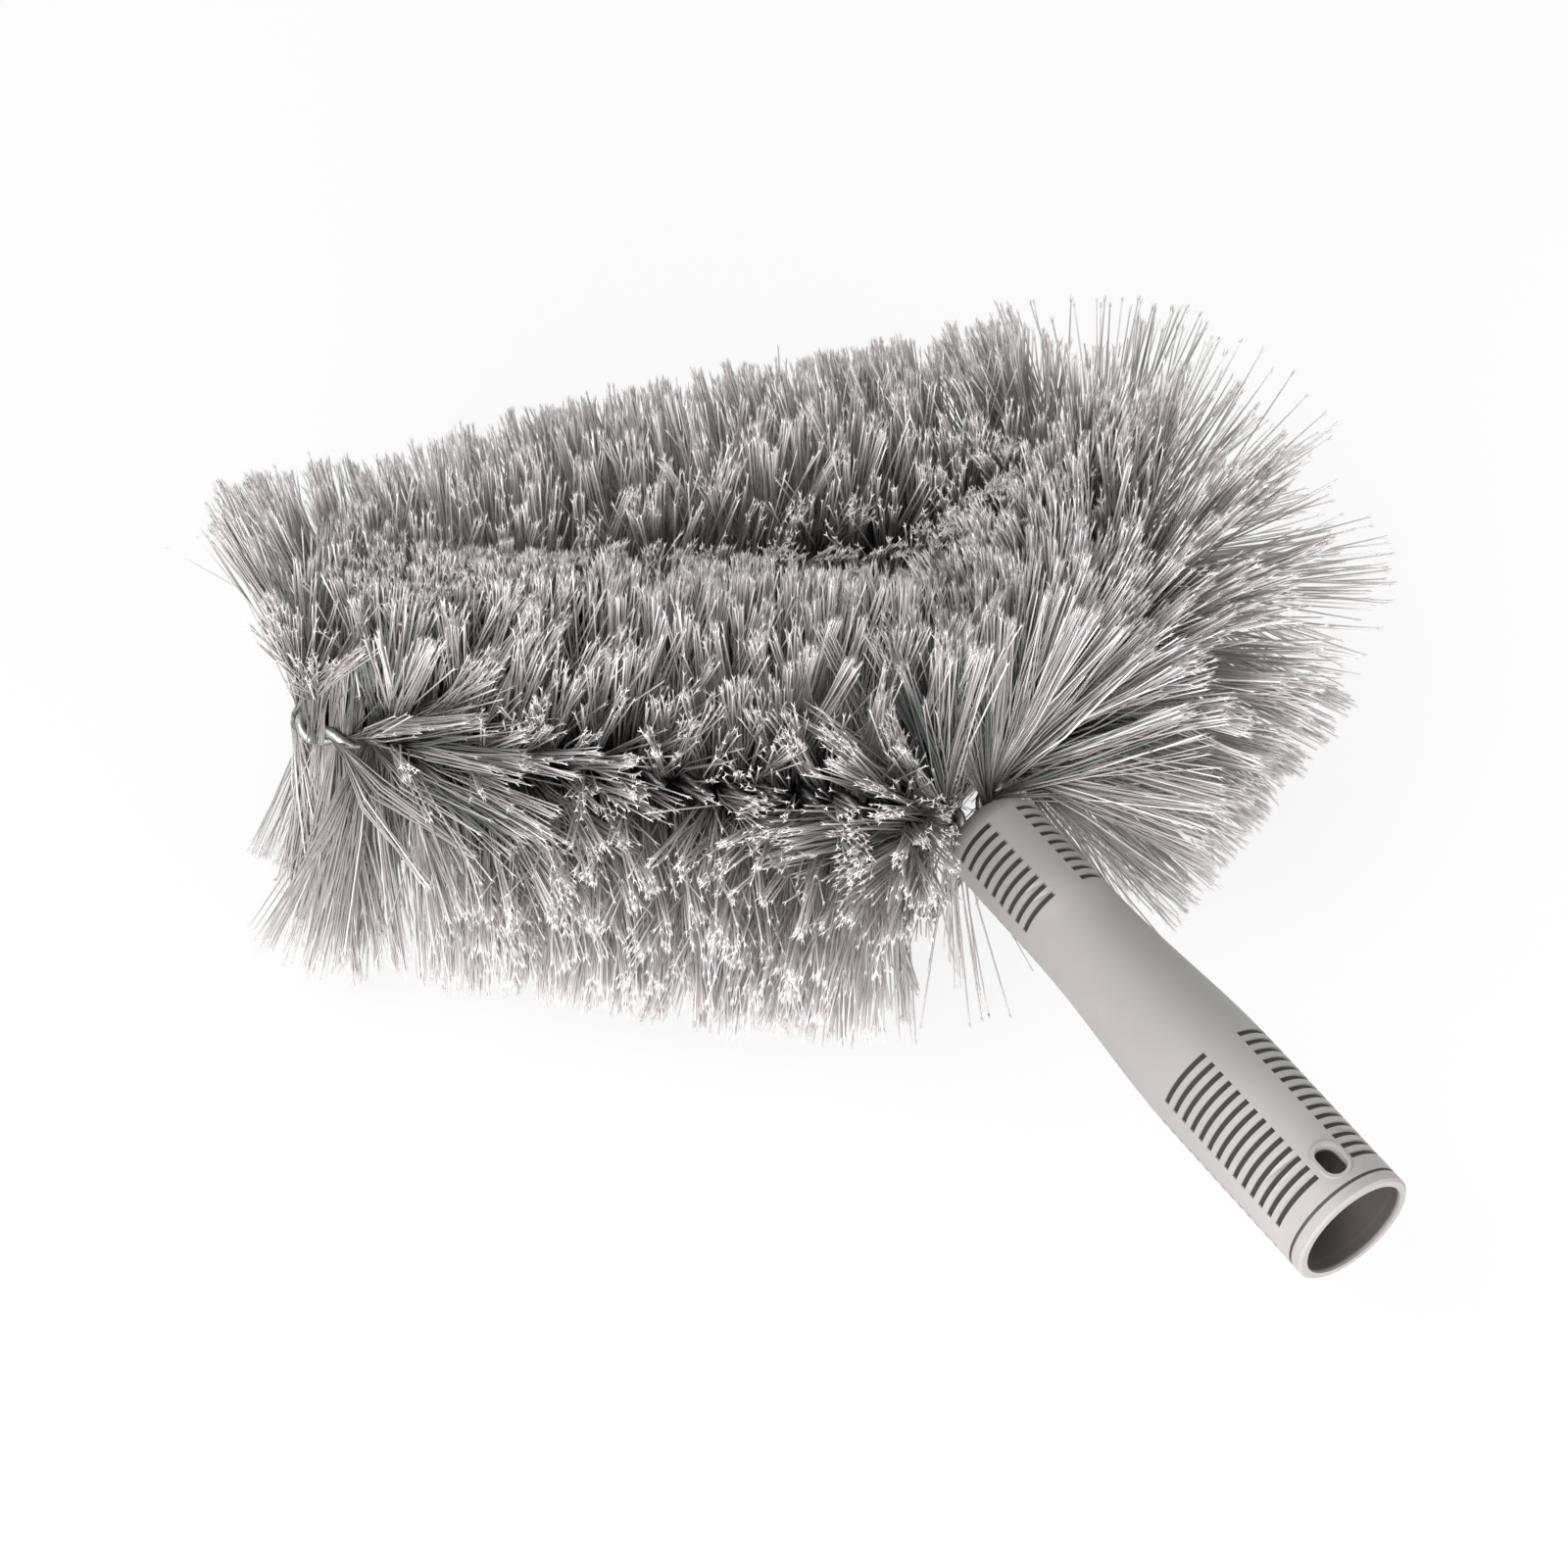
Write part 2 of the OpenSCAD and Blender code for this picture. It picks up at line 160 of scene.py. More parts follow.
class Sheet:
    """The node tree of one material or world."""

    def __init__(self, owner: bpy.types.Material | bpy.types.World) -> None:
        """Empties the owner's node tree.

        Args:
            owner: the material or world to fill.
        """
        owner.use_nodes = True
        self.tree = owner.node_tree
        self.tree.nodes.clear()

    def node(
        self, kind: str, settings: dict | None = None, inputs: dict | None = None
    ) -> bpy.types.Node:
        """Adds one node.

        Args:
            kind: the node's type name.
            settings: its properties, set first. "stops" fills a ramp with (place, colour) pairs.
            inputs: its sockets by name or number, with a number, a tuple, a Value or a socket.

        Returns:
            The new node.
        """
        made = self.tree.nodes.new(kind)
        for name, setting in (settings or {}).items():
            if name == "stops":
                self._fill_ramp(made.color_ramp, setting)
            else:
                setattr(made, name, setting)
        for name, given in (inputs or {}).items():
            if isinstance(given, Value):
                self.tree.links.new(given.socket, made.inputs[name])
            elif isinstance(given, bpy.types.NodeSocket):
                self.tree.links.new(given, made.inputs[name])
            else:
                made.inputs[name].default_value = given
        return made

    def _fill_ramp(self, ramp: bpy.types.ColorRamp, stops: list[tuple[float, Colour]]) -> None:
        """Sets a colour ramp's stops.

        Args:
            ramp: the ramp, which comes with two stops.
            stops: places and colours in rising order.
        """
        while len(ramp.elements) < len(stops):
            ramp.elements.new(1.0)
        for element, (place, colour) in zip(ramp.elements, stops, strict=True):
            element.position = place
            element.color = (*colour, 1.0)

    def value(self, kind: str, inputs: dict) -> Value:
        """The first output of a new node as a value."""
        return Value(self, self.node(kind, None, inputs).outputs[0])

    def mix(
        self, share: Value | float, first: Value | Colour, second: Value | Colour, how: str = "MIX"
    ) -> Value:
        """Mixes two colours.

        Args:
            share: how much of the second one shows.
            first: a colour or a colour socket.
            second: a colour or a colour socket.
            how: the blend type.

        Returns:
            The mixed colour.
        """
        made = self.node("ShaderNodeMix", {"data_type": "RGBA", "blend_type": how})
        shares, colours = made.inputs[0], (made.inputs[6], made.inputs[7])
        for socket, given in zip((shares, *colours), (share, first, second), strict=True):
            if isinstance(given, Value):
                self.tree.links.new(given.socket, socket)
            else:
                socket.default_value = (*given, 1.0) if isinstance(given, tuple) else given
        return Value(self, made.outputs[2])

    def place(self) -> tuple[Value, Value, Value]:
        """X, Y and Z of the shaded point in the object's own space."""
        x, y, z = self.parts(self.node("ShaderNodeTexCoord").outputs["Object"])
        return x, y, z

    def parts(self, vector: bpy.types.NodeSocket) -> list[Value]:
        """The three parts of a vector."""
        made = self.node("ShaderNodeSeparateXYZ", None, {0: vector})
        return [Value(self, out) for out in made.outputs]

    def noise(self, scale: float, detail: float = 2.0, stretch: Colour = (1.0, 1.0, 1.0)) -> Value:
        """Noise in the object's own space.

        Args:
            scale: waves a metre.
            detail: octaves.
            stretch: how much denser the noise is along each axis.

        Returns:
            The noise, about 0.5 on average.
        """
        coordinates = self.node("ShaderNodeTexCoord").outputs["Object"]
        moved = self.node("ShaderNodeMapping", None, {"Vector": coordinates, "Scale": stretch})
        inputs = {"Vector": moved.outputs[0], "Scale": scale, "Detail": detail}
        return self.value("ShaderNodeTexNoise", inputs)

    def bump(self, height: Value, depth: float, strength: float) -> Value:
        """A normal from a height.

        Args:
            height: from 0 to 1.
            depth: what a height of 1 means, in metres.
            strength: share of the effect.

        Returns:
            The normal.
        """
        return self.value("ShaderNodeBump", {"Height": height, "Distance": depth, "Strength": strength})

    def finish(self, inputs: dict) -> None:
        """Ends the tree in one Principled shader with these inputs."""
        shader = self.node("ShaderNodeBsdfPrincipled", None, inputs)
        self.node("ShaderNodeOutputMaterial", None, {"Surface": shader.outputs[0]})


# Finishes


@dataclass(frozen=True)
class Finish:
    """A material made of nodes. Each kind of finish says how it is drawn."""

    name: str

    def draw(self, sheet: Sheet) -> None:
        """Fills the sheet with this finish's nodes."""
        raise NotImplementedError

    def material(self) -> bpy.types.Material:
        """Builds the material.

        Returns:
            A new material with this finish.
        """
        made = bpy.data.materials.new(self.name)
        self.draw(Sheet(made))
        return made


@dataclass(frozen=True)
class MouldedPlastic(Finish):
    """Grey moulded polypropylene of the handle, darker in its grooves, its ring and inside its bore by painted
    shade, and paler towards the mouth by a painted highlight.
    """

    name: str = "handle_moulded_plastic"
    face: Colour = (0.285, 0.267, 0.265)
    # the paler colour of the mottle and of the painted highlight towards the mouth
    pale_and_painted_highlight: Colour = (0.385, 0.363, 0.358)
    # painted shade: the near-black colour of the grooves and the ring
    groove_painted_shade: Colour = (0.024, 0.020, 0.019)
    # painted shade: the dark colour inside the bore
    bore_painted_shade: Colour = (0.075, 0.064, 0.060)
    barrel_r: float = 16 * MM
    neck_r: float = 12.85 * MM
    taper_from: float = 48 * MM
    taper_len: float = 60 * MM
    groove_from: float = 0.42 * MM
    groove_to: float = 0.6 * MM
    groove_pitch: float = 3.2 * MM
    groove_half: float = 0.75 * MM
    barrel_groove_y: float = 9.5 * MM
    neck_groove_y: float = 110.65 * MM
    band_half: float = 3.8 * MM
    band_edge: float = 0.5 * MM
    rim_gap: float = 1 * MM
    sharp_edge: float = 0.1 * MM
    ring_y: float = 3.6 * MM
    ring_half: float = 0.45 * MM
    ring_edge: float = 0.05 * MM
    ring_from: float = 0.1 * MM
    ring_to: float = 0.3 * MM
    ring_shade_share: float = 0.85
    wall_from: float = 1.2 * MM
    wall_to: float = 1.9 * MM
    mouth_from: float = 0.2 * MM
    mouth_to: float = 1.4 * MM
    nose_from: float = 137 * MM
    nose_edge: float = 1 * MM
    # painted highlight: the skin pales from here towards the mouth
    painted_highlight_until: float = 70 * MM
    painted_highlight_share: float = 0.6
    cloud_scale: float = 45.0
    cloud_share: float = 0.25
    grain_scale: float = 2600.0
    grain_depth: float = 0.03 * MM

    def draw(self, sheet: Sheet) -> None:
        """Finds the grooves, the ring and the bore from the depth under the outside and paints shade into them,
        and paints a highlight that pales the skin towards the mouth.

        Args:
            sheet: the material's node sheet.
        """
        x, y, z = sheet.place()
        radius = (x * x + z * z).maths("SQRT")
        along = ((y - self.taper_from) / self.taper_len).maths("MAXIMUM", 0.0).maths("MINIMUM", 1.0)
        swell = ((along * math.pi).maths("COSINE") + 1) * 0.5
        outside = swell * (self.barrel_r - self.neck_r) + self.neck_r
        depth = outside - radius
        off_nose = y.step(self.nose_from + self.nose_edge, self.nose_from)
        on_neck = y.maths("GREATER_THAN", self.taper_from + self.taper_len / 2)
        first_row = on_neck * (self.neck_groove_y - self.barrel_groove_y)
        rows = (y - self.barrel_groove_y - first_row) / self.groove_pitch
        off_row = (rows - rows.maths("ROUND")).maths("ABSOLUTE") * self.groove_pitch
        rim = self.barrel_groove_y - self.rim_gap
        past_rim = y.step(rim - 2 * self.sharp_edge, rim)
        in_row = off_row.step(self.groove_half + self.sharp_edge, self.groove_half) * past_rim
        in_column = x.maths("ABSOLUTE").step(self.band_half, self.band_half + self.band_edge)
        # painted shade in the grooves and the ring, found from the depth under the outside
        cut = depth.step(self.groove_from, self.groove_to) * in_row * in_column * off_nose
        off_ring = (y - self.ring_y).maths("ABSOLUTE")
        near_ring = off_ring.step(self.ring_half + self.ring_edge, self.ring_half)
        ring_painted_shade = near_ring * depth.step(self.ring_from, self.ring_to) * self.ring_shade_share
        groove_shade_mask = cut.maths("MAXIMUM", ring_painted_shade)
        # painted shade inside the bore, kept off its first millimetre at the mouth
        in_mouth = y.step(self.mouth_from, self.mouth_to)
        bore_shade_mask = depth.step(self.wall_from, self.wall_to) * off_nose * in_mouth
        cloud = sheet.noise(self.cloud_scale, 3.0)
        # painted highlight that pales the skin towards the mouth, added to the random mottle
        pale_and_painted_highlight = y.step(self.painted_highlight_until, 0.0) * self.painted_highlight_share
        mottle_and_painted_highlight = cloud.step(0.45, 0.75) * self.cloud_share + pale_and_painted_highlight
        skin = sheet.mix(mottle_and_painted_highlight, self.face, self.pale_and_painted_highlight)
        groove_shaded = sheet.mix(groove_shade_mask, skin, self.groove_painted_shade)
        colour = sheet.mix(bore_shade_mask, groove_shaded, self.bore_painted_shade)
        grain = sheet.noise(self.grain_scale)
        sheet.finish(
            {
                "Base Color": colour,
                "Roughness": 0.44 + 0.12 * cloud + 0.2 * groove_shade_mask,
                "Normal": sheet.bump(grain, self.grain_depth, 0.6),
            }
        )


@dataclass(frozen=True)
class PlugPlastic(Finish):
    """Plain moulded plastic of the plug inside the neck, with faint flow marks."""

    name: str = "plug_plastic"
    dark: Colour = (0.23, 0.215, 0.21)
    light: Colour = (0.31, 0.29, 0.285)
    flow_scale: float = 160.0
    flow_stretch: Colour = (1.0, 0.3, 1.0)
    grain_scale: float = 1500.0
    grain_depth: float = 0.02 * MM

    def draw(self, sheet: Sheet) -> None:
        """Draws flow marks that run along the plug.

        Args:
            sheet: the material's node sheet.
        """
        flow = sheet.noise(self.flow_scale, 3.0, self.flow_stretch)
        sheet.finish(
            {
                "Base Color": sheet.mix(flow.step(0.35, 0.65), self.dark, self.light),
                "Roughness": 0.45 + 0.15 * flow,
                "Normal": sheet.bump(sheet.noise(self.grain_scale), self.grain_depth, 0.5),
            }
        )


@dataclass(frozen=True)
class GalvanisedSteel(Finish):
    """Zinc-coated steel of the wires and the ferrule: bright, with a fine spangle."""

    name: str = "galvanised_steel"
    bright: Colour = (0.56, 0.57, 0.56)
    dull: Colour = (0.32, 0.33, 0.32)
    spangle_scale: float = 700.0
    spangle_depth: float = 0.02 * MM

    def draw(self, sheet: Sheet) -> None:
        """Draws the spangle as patches of dull and bright zinc.

        Args:
            sheet: the material's node sheet.
        """
        spangle = sheet.noise(self.spangle_scale, 3.0)
        patch = spangle.step(0.4, 0.62)
        sheet.finish(
            {
                "Base Color": sheet.mix(patch, self.bright, self.dull),
                "Metallic": 0.9,
                "Roughness": 0.34 + 0.16 * patch,
                "Normal": sheet.bump(spangle, self.spangle_depth, 0.5),
            }
        )


@dataclass(frozen=True)
class Filament(Finish):
    """Grey plastic filament, mapped from the darkest filament to the palest and from root to tip, with painted
    shade towards the root and painted glints on the palest filaments.
    """

    name: str = "bristle_filament"
    map_name: str = "OFBake"
    # root: painted shade, darker where the filaments leave the wire and shade one another
    root: Colour = (0.33, 0.305, 0.295)
    shaft: Colour = (0.50, 0.465, 0.455)
    cool_shaft: Colour = (0.27, 0.293, 0.283)
    # painted glints: the white shaft and tip colours of the palest filaments
    painted_glint_shaft: Colour = (0.78, 0.745, 0.735)
    tip: Colour = (0.80, 0.757, 0.748)
    painted_glint_tip: Colour = (0.95, 0.91, 0.90)
    cool_until: float = 0.16
    painted_glint_from: float = 0.86
    tone_edge: float = 0.02
    painted_root_shade_until: Range = (0.02, 0.38)
    tip_from: Range = (0.72, 0.93)
    darkest: float = 0.66
    lighter_by: float = 0.5

    def draw(self, sheet: Sheet) -> None:
        """Reads each filament's shade and the way along it from the map.

        Args:
            sheet: the material's node sheet.
        """
        layout = sheet.node("ShaderNodeUVMap", {"uv_map": self.map_name}).outputs[0]
        tone, along, _ = sheet.parts(layout)
        cool = tone.step(self.cool_until, self.cool_until - self.tone_edge)
        # painted glints on the palest filaments
        painted_glint = tone.step(self.painted_glint_from - self.tone_edge, self.painted_glint_from)
        shaft = sheet.mix(painted_glint, sheet.mix(cool, self.shaft, self.cool_shaft), self.painted_glint_shaft)
        tip = sheet.mix(painted_glint, self.tip, self.painted_glint_tip)
        # painted shade: darker from the root over the first part of each filament
        grown = sheet.mix(along.step(*self.painted_root_shade_until), self.root, shaft)
        whole = sheet.mix(along.step(*self.tip_from), grown, tip)
        # random tone of each filament, brightest on the ones with painted glints
        shade = self.darkest + self.lighter_by * tone
        grey = sheet.node("ShaderNodeCombineColor", None, {0: shade, 1: shade, 2: shade})
        colour = sheet.mix(1.0, whole, Value(sheet, grey.outputs[0]), "MULTIPLY")
        sheet.finish({"Base Color": colour, "Roughness": 0.28})


# The wire's centreline


@dataclass
class LoopSizes:
    """Driving sizes of the loop, the same as the solids have."""

    leave_y: float = 150.4 * MM
    stem_end_y: float = 102.9 * MM
    stem_gap: float = 8 * MM
    front_arm_len: float = 179.5 * MM
    front_arm_angle: float = math.radians(45.6)
    side_arm_len: float = 109 * MM
    side_arm_angle: float = math.radians(67.3)
    back_bow: float = 9 * MM
    back_bow_r: float = 400 * MM
    kink_r: float = 5 * MM
    bend_r: float = 14.5 * MM
    nose_bend_r: float = 6 * MM
    wire_r: float = 1.2 * MM
    helix_r: float = 1.75 * MM
    twist_pitch: float = 20 * MM


class Centreline:
    """The middle of the twisted pair, from the left stem round the loop to the right stem."""

    def __init__(self, sizes: LoopSizes) -> None:
        """Works out the legs and arcs.

        Args:
            sizes: the loop's driving sizes.
        """
        self.sizes = sizes
        half_gap = sizes.stem_gap / 2
        left = np.array([-half_gap, sizes.leave_y])
        right = np.array([half_gap, sizes.leave_y])
        front, side = sizes.front_arm_angle, sizes.side_arm_angle
        kink = left + sizes.front_arm_len * np.array([-math.sin(front), math.cos(front)])
        bend = right + sizes.side_arm_len * np.array([math.sin(side), math.cos(side)])
        chord = bend - kink
        square = np.array([-chord[1], chord[0]]) / np.linalg.norm(chord)
        bow = (kink + bend) / 2 + sizes.back_bow * square
        stems = [np.array([x, sizes.stem_end_y]) for x in (-half_gap, half_gap)]
        self.corners = [stems[0], left, kink, bow, bend, right, stems[1]]
        at_nose = sizes.nose_bend_r
        self.radii = [0, at_nose, sizes.kink_r, sizes.back_bow_r, sizes.bend_r, at_nose, 0]
        self.triangle = [np.array([0, sizes.leave_y]), kink, bend]
        legs = [b - a for a, b in zip(self.corners, self.corners[1:])]
        self.headings = [math.atan2(leg[1], leg[0]) for leg in legs]
        steps = [b - a for a, b in zip(self.headings, self.headings[1:])]
        self.turns = [0.0, *[(s + math.pi) % (2 * math.pi) - math.pi for s in steps], 0.0]
        self.tangents = [r * math.tan(abs(t) / 2) for r, t in zip(self.radii, self.turns)]
        self.arcs = [r * abs(t) for r, t in zip(self.radii, self.turns)]
        self.starts, self.ends = [], []
        at = 0.0
        for i, leg in enumerate(legs):
            self.starts.append(at)
            at += float(np.linalg.norm(leg)) - self.tangents[i] - self.tangents[i + 1]
            self.ends.append(at)
            at += self.arcs[i + 1]
        self.length = self.ends[-1]

    def at(self, s: Numbers) -> tuple[Numbers, Numbers]:
        """Places on the centreline.

        Args:
            s: distances along it.

        Returns:
            The points, with z = 0, and the headings.
        """
        points = np.zeros((len(s), 3))
        headings = np.zeros(len(s))
        for i, heading in enumerate(self.headings):
            on_leg = (s >= self.starts[i]) | (i == 0)
            way = np.array([math.cos(heading), math.sin(heading)])
            start = self.corners[i] + way * self.tangents[i]
            points[on_leg, :2] = start + np.outer(s[on_leg] - self.starts[i], way)
            headings[on_leg] = heading
            if i + 1 < len(self.headings):
                past = s > self.ends[i]
                turned = heading + self.turns[i + 1] * (s[past] - self.ends[i]) / self.arcs[i + 1]
                side = math.copysign(1.0, self.turns[i + 1])
                end = self.corners[i + 1] - way * self.tangents[i + 1]
                across = math.sin(-heading) + np.sin(turned)
                swing = np.stack([across, math.cos(heading) - np.cos(turned)], 1)
                points[past, :2] = end + side * self.radii[i + 1] * swing
                headings[past] = turned
        return points, headings

    def ahead(self, headings: Numbers) -> Numbers:
        """Unit vectors along the wire."""
        return np.stack([np.cos(headings), np.sin(headings), np.zeros(len(headings))], 1)

    def spoke(self, headings: Numbers, angles: Numbers) -> Numbers:
        """Unit vectors square to the wire: angle 0 points out of the loop, a quarter turn up."""
        flat = np.cos(angles)
        return np.stack([-np.sin(headings) * flat, np.cos(headings) * flat, np.sin(angles)], 1)

    def phase(self, s: Numbers) -> Numbers:
        """Angle of the first wire round the centreline."""
        return 2 * math.pi * s / self.sizes.twist_pitch

    def room(self, arm: Arm, points: Numbers, headings: Numbers) -> Numbers:
        """How far a straight line can run into the loop before it leaves its arm's share.

        Args:
            arm: the arm that the points are on.
            points: places on the centreline.
            headings: their headings.

        Returns:
            The distance to the nearer of the two lines that halve the arm's corners.
        """
        a, b, c = self.triangle
        sides = [np.linalg.norm(b - c), np.linalg.norm(c - a), np.linalg.norm(a - b)]
        middle = (sides[0] * a + sides[1] * b + sides[2] * c) / sum(sides)
        inward = -self.spoke(headings, np.zeros(len(headings)))[:, :2]
        nearest = np.full(len(headings), np.inf)
        for corner in (self.triangle[arm.value], self.triangle[(arm.value + 1) % 3]):
            line = (middle - corner) / np.linalg.norm(middle - corner)
            normal = np.array([-line[1], line[0]])
            gap = -(points[:, :2] - corner) @ normal
            speed = inward @ normal
            run = np.divide(gap, speed, out=np.full(len(gap), np.inf), where=np.abs(speed) > 1e-6)
            nearest = np.where((run > 0) & (run < nearest), run, nearest)
        return nearest


# Meshes


def new_mesh_piece(
    name: str, points: Numbers, faces: Numbers, layout: Numbers | None = None, map_name: str = ""
) -> bpy.types.Object:
    """Makes an object of triangles.

    Args:
        name: the piece's name.
        points: its vertices.
        faces: three vertex numbers a face.
        layout: a place on the map for each vertex, or None for no map.
        map_name: the map's name.

    Returns:
        The object, linked to the scene and smoothly shaded.
    """
    mesh = bpy.data.meshes.new(name)
    mesh.vertices.add(len(points))
    mesh.vertices.foreach_set("co", points.astype(np.float32).ravel())
    mesh.loops.add(faces.size)
    mesh.loops.foreach_set("vertex_index", faces.astype(np.int32).ravel())
    mesh.polygons.add(len(faces))
    mesh.polygons.foreach_set("loop_start", np.arange(0, faces.size, 3, dtype=np.int32))
    mesh.polygons.foreach_set("use_smooth", np.ones(len(faces), dtype=bool))
    if layout is not None:
        layer = mesh.uv_layers.new(name=map_name)
        layer.uv.foreach_set("vector", layout[faces.ravel()].astype(np.float32).ravel())
    mesh.update(calc_edges=True)
    mesh.validate()
    made = bpy.data.objects.new(name, mesh)
    bpy.context.scene.collection.objects.link(made)
    return made


def stand_for(piece: bpy.types.Object, node: str, material: bpy.types.Material) -> None:
    """Dresses a piece and puts it in the place of a plain solid.

    Args:
        piece: the new piece.
        node: the solid that it stands for.
        material: the finish.
    """
    piece.data.materials.append(material)
    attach(piece, BODY)
    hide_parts(node)
    log.info("%s: %d faces", piece.name, len(piece.data.polygons))


# Sub-assemblies


@dataclass
class Handle:
    """The moulded handle with its pole socket, and what holds the stems inside its neck."""

    shell: MouldedPlastic = field(default_factory=MouldedPlastic)
    plug: PlugPlastic = field(default_factory=PlugPlastic)
    steel: GalvanisedSteel = field(default_factory=GalvanisedSteel)

    def dress(self, steel: bpy.types.Material) -> None:
        """Gives the solids their finishes.

        Args:
            steel: the wires' steel, which the ferrule shares.
        """
        finishes = {
            "handle": (self.shell.material(), Slot.HANDLE),
            "stem_plug": (self.plug.material(), Slot.PLUG),
            "crimp_ferrule": (steel, Slot.STEEL),
        }
        for node, (material, slot) in finishes.items():
            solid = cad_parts[node]
            solid.data.materials.clear()
            solid.data.materials.append(material)
            log.info("%s: dressed in %s", node, material.name)


@dataclass
class WirePair:
    """The two wires, each one unbroken round wire wound half a turn from the other."""

    line: Centreline
    sides: int = 14
    rings_per_turn: int = 36

    def _wire(self, offset: float) -> tuple[Numbers, Numbers]:
        """Sweeps one wire.

        Args:
            offset: its angle round the centreline.

        Returns:
            Its vertices and faces.
        """
        sizes = self.line.sizes
        count = int(self.line.length / sizes.twist_pitch * self.rings_per_turn) + 1
        s = np.linspace(0, self.line.length, count)
        points, headings = self.line.at(s)
        angles = self.line.phase(s) + offset
        out = self.line.spoke(headings, angles)
        slope = 2 * math.pi * sizes.helix_r / sizes.twist_pitch
        along = self.line.ahead(headings) + slope * self.line.spoke(headings, angles + math.pi / 2)
        along /= np.linalg.norm(along, axis=1, keepdims=True)
        across = np.cross(out, along)
        turn = np.arange(self.sides) * 2 * math.pi / self.sides
        cosine, sine = np.cos(turn)[None, :, None], np.sin(turn)[None, :, None]
        ring = cosine * out[:, None, :] + sine * across[:, None, :]
        vertices = (points + sizes.helix_r * out)[:, None, :] + sizes.wire_r * ring
        rings, sides = (np.arange(count - 1) * self.sides)[:, None], np.arange(self.sides)[None, :]
        first, after = rings + sides, rings + (sides + 1) % self.sides
        near = np.stack([first, first + self.sides, after + self.sides], -1).reshape(-1, 3)
        far = np.stack([first, after + self.sides, after], -1).reshape(-1, 3)
        fan = np.arange(1, self.sides - 1)
        last = (count - 1) * self.sides
        start_cap = np.stack([np.zeros_like(fan), fan, fan + 1], 1)
        end_cap = np.stack([np.full_like(fan, last), last + fan + 1, last + fan], 1)
        return vertices.reshape(-1, 3), np.concatenate([near, far, start_cap, end_cap])

    def build(self, steel: bpy.types.Material) -> None:
        """Makes both wires in place of their plain solids.

        Args:
            steel: their finish.
        """
        for node, offset in (("wire_strand_a", 0.0), ("wire_strand_b", math.pi)):
            piece = new_mesh_piece(node + "_round", *self._wire(offset))
            stand_for(piece, node, steel)


@dataclass(frozen=True)
class Stretch:
    """A run of wire whose filaments stand for one solid."""

    node: str
    arm: Arm
    start: float
    end: float
    seed: int
    round_bend: bool = False


@dataclass
class Tufts:
    """Directions of the filaments of one stretch, one entry a tuft or a filament."""

    s: Numbers
    angle: Numbers
    lean: Numbers
    length: Numbers
    tone: Numbers
    overlap: Numbers
    out: Numbers


@dataclass(frozen=True)
class Loose:
    """Filaments that have slipped out of the rows at one place of the wire."""

    corner: int
    count: int
    middle: Colour
    end: Colour
    scatter: float
    root_scatter: float = 1 * MM
    longer: Range = (-0.25, 0.05)
    middle_scatter: float = 0.45

    def lay(self, line: Centreline, rng: np.random.Generator) -> tuple[Numbers, Numbers, Numbers]:
        """Lays them out from a corner of the wire.

        Args:
            line: the wire's centreline.
            rng: the stretch's random numbers.

        Returns:
            Their roots, middles and ends.
        """
        place, _ = line.at(np.array([(line.ends[self.corner - 1] + line.starts[self.corner]) / 2]))
        root = place + rng.normal(0, self.root_scatter, (self.count, 3))
        off = rng.normal(0, self.scatter, (self.count, 3))
        long = 1 + (self.scatter > 0) * rng.uniform(*self.longer, (self.count, 1))
        middle = root + long * (np.array(self.middle) + self.middle_scatter * off)
        return root, middle, root + long * (np.array(self.end) + off)


LOOSE = {
    "bristles_front_1": Loose(1, 22, (-0.003, -0.008, -0.022), (-0.008, -0.021, -0.043), 8 * MM),
    "bristles_back_1": Loose(2, 1, (0.001, 0.028, 0.024), (-0.010, 0.042, 0.033), 0.0),
}


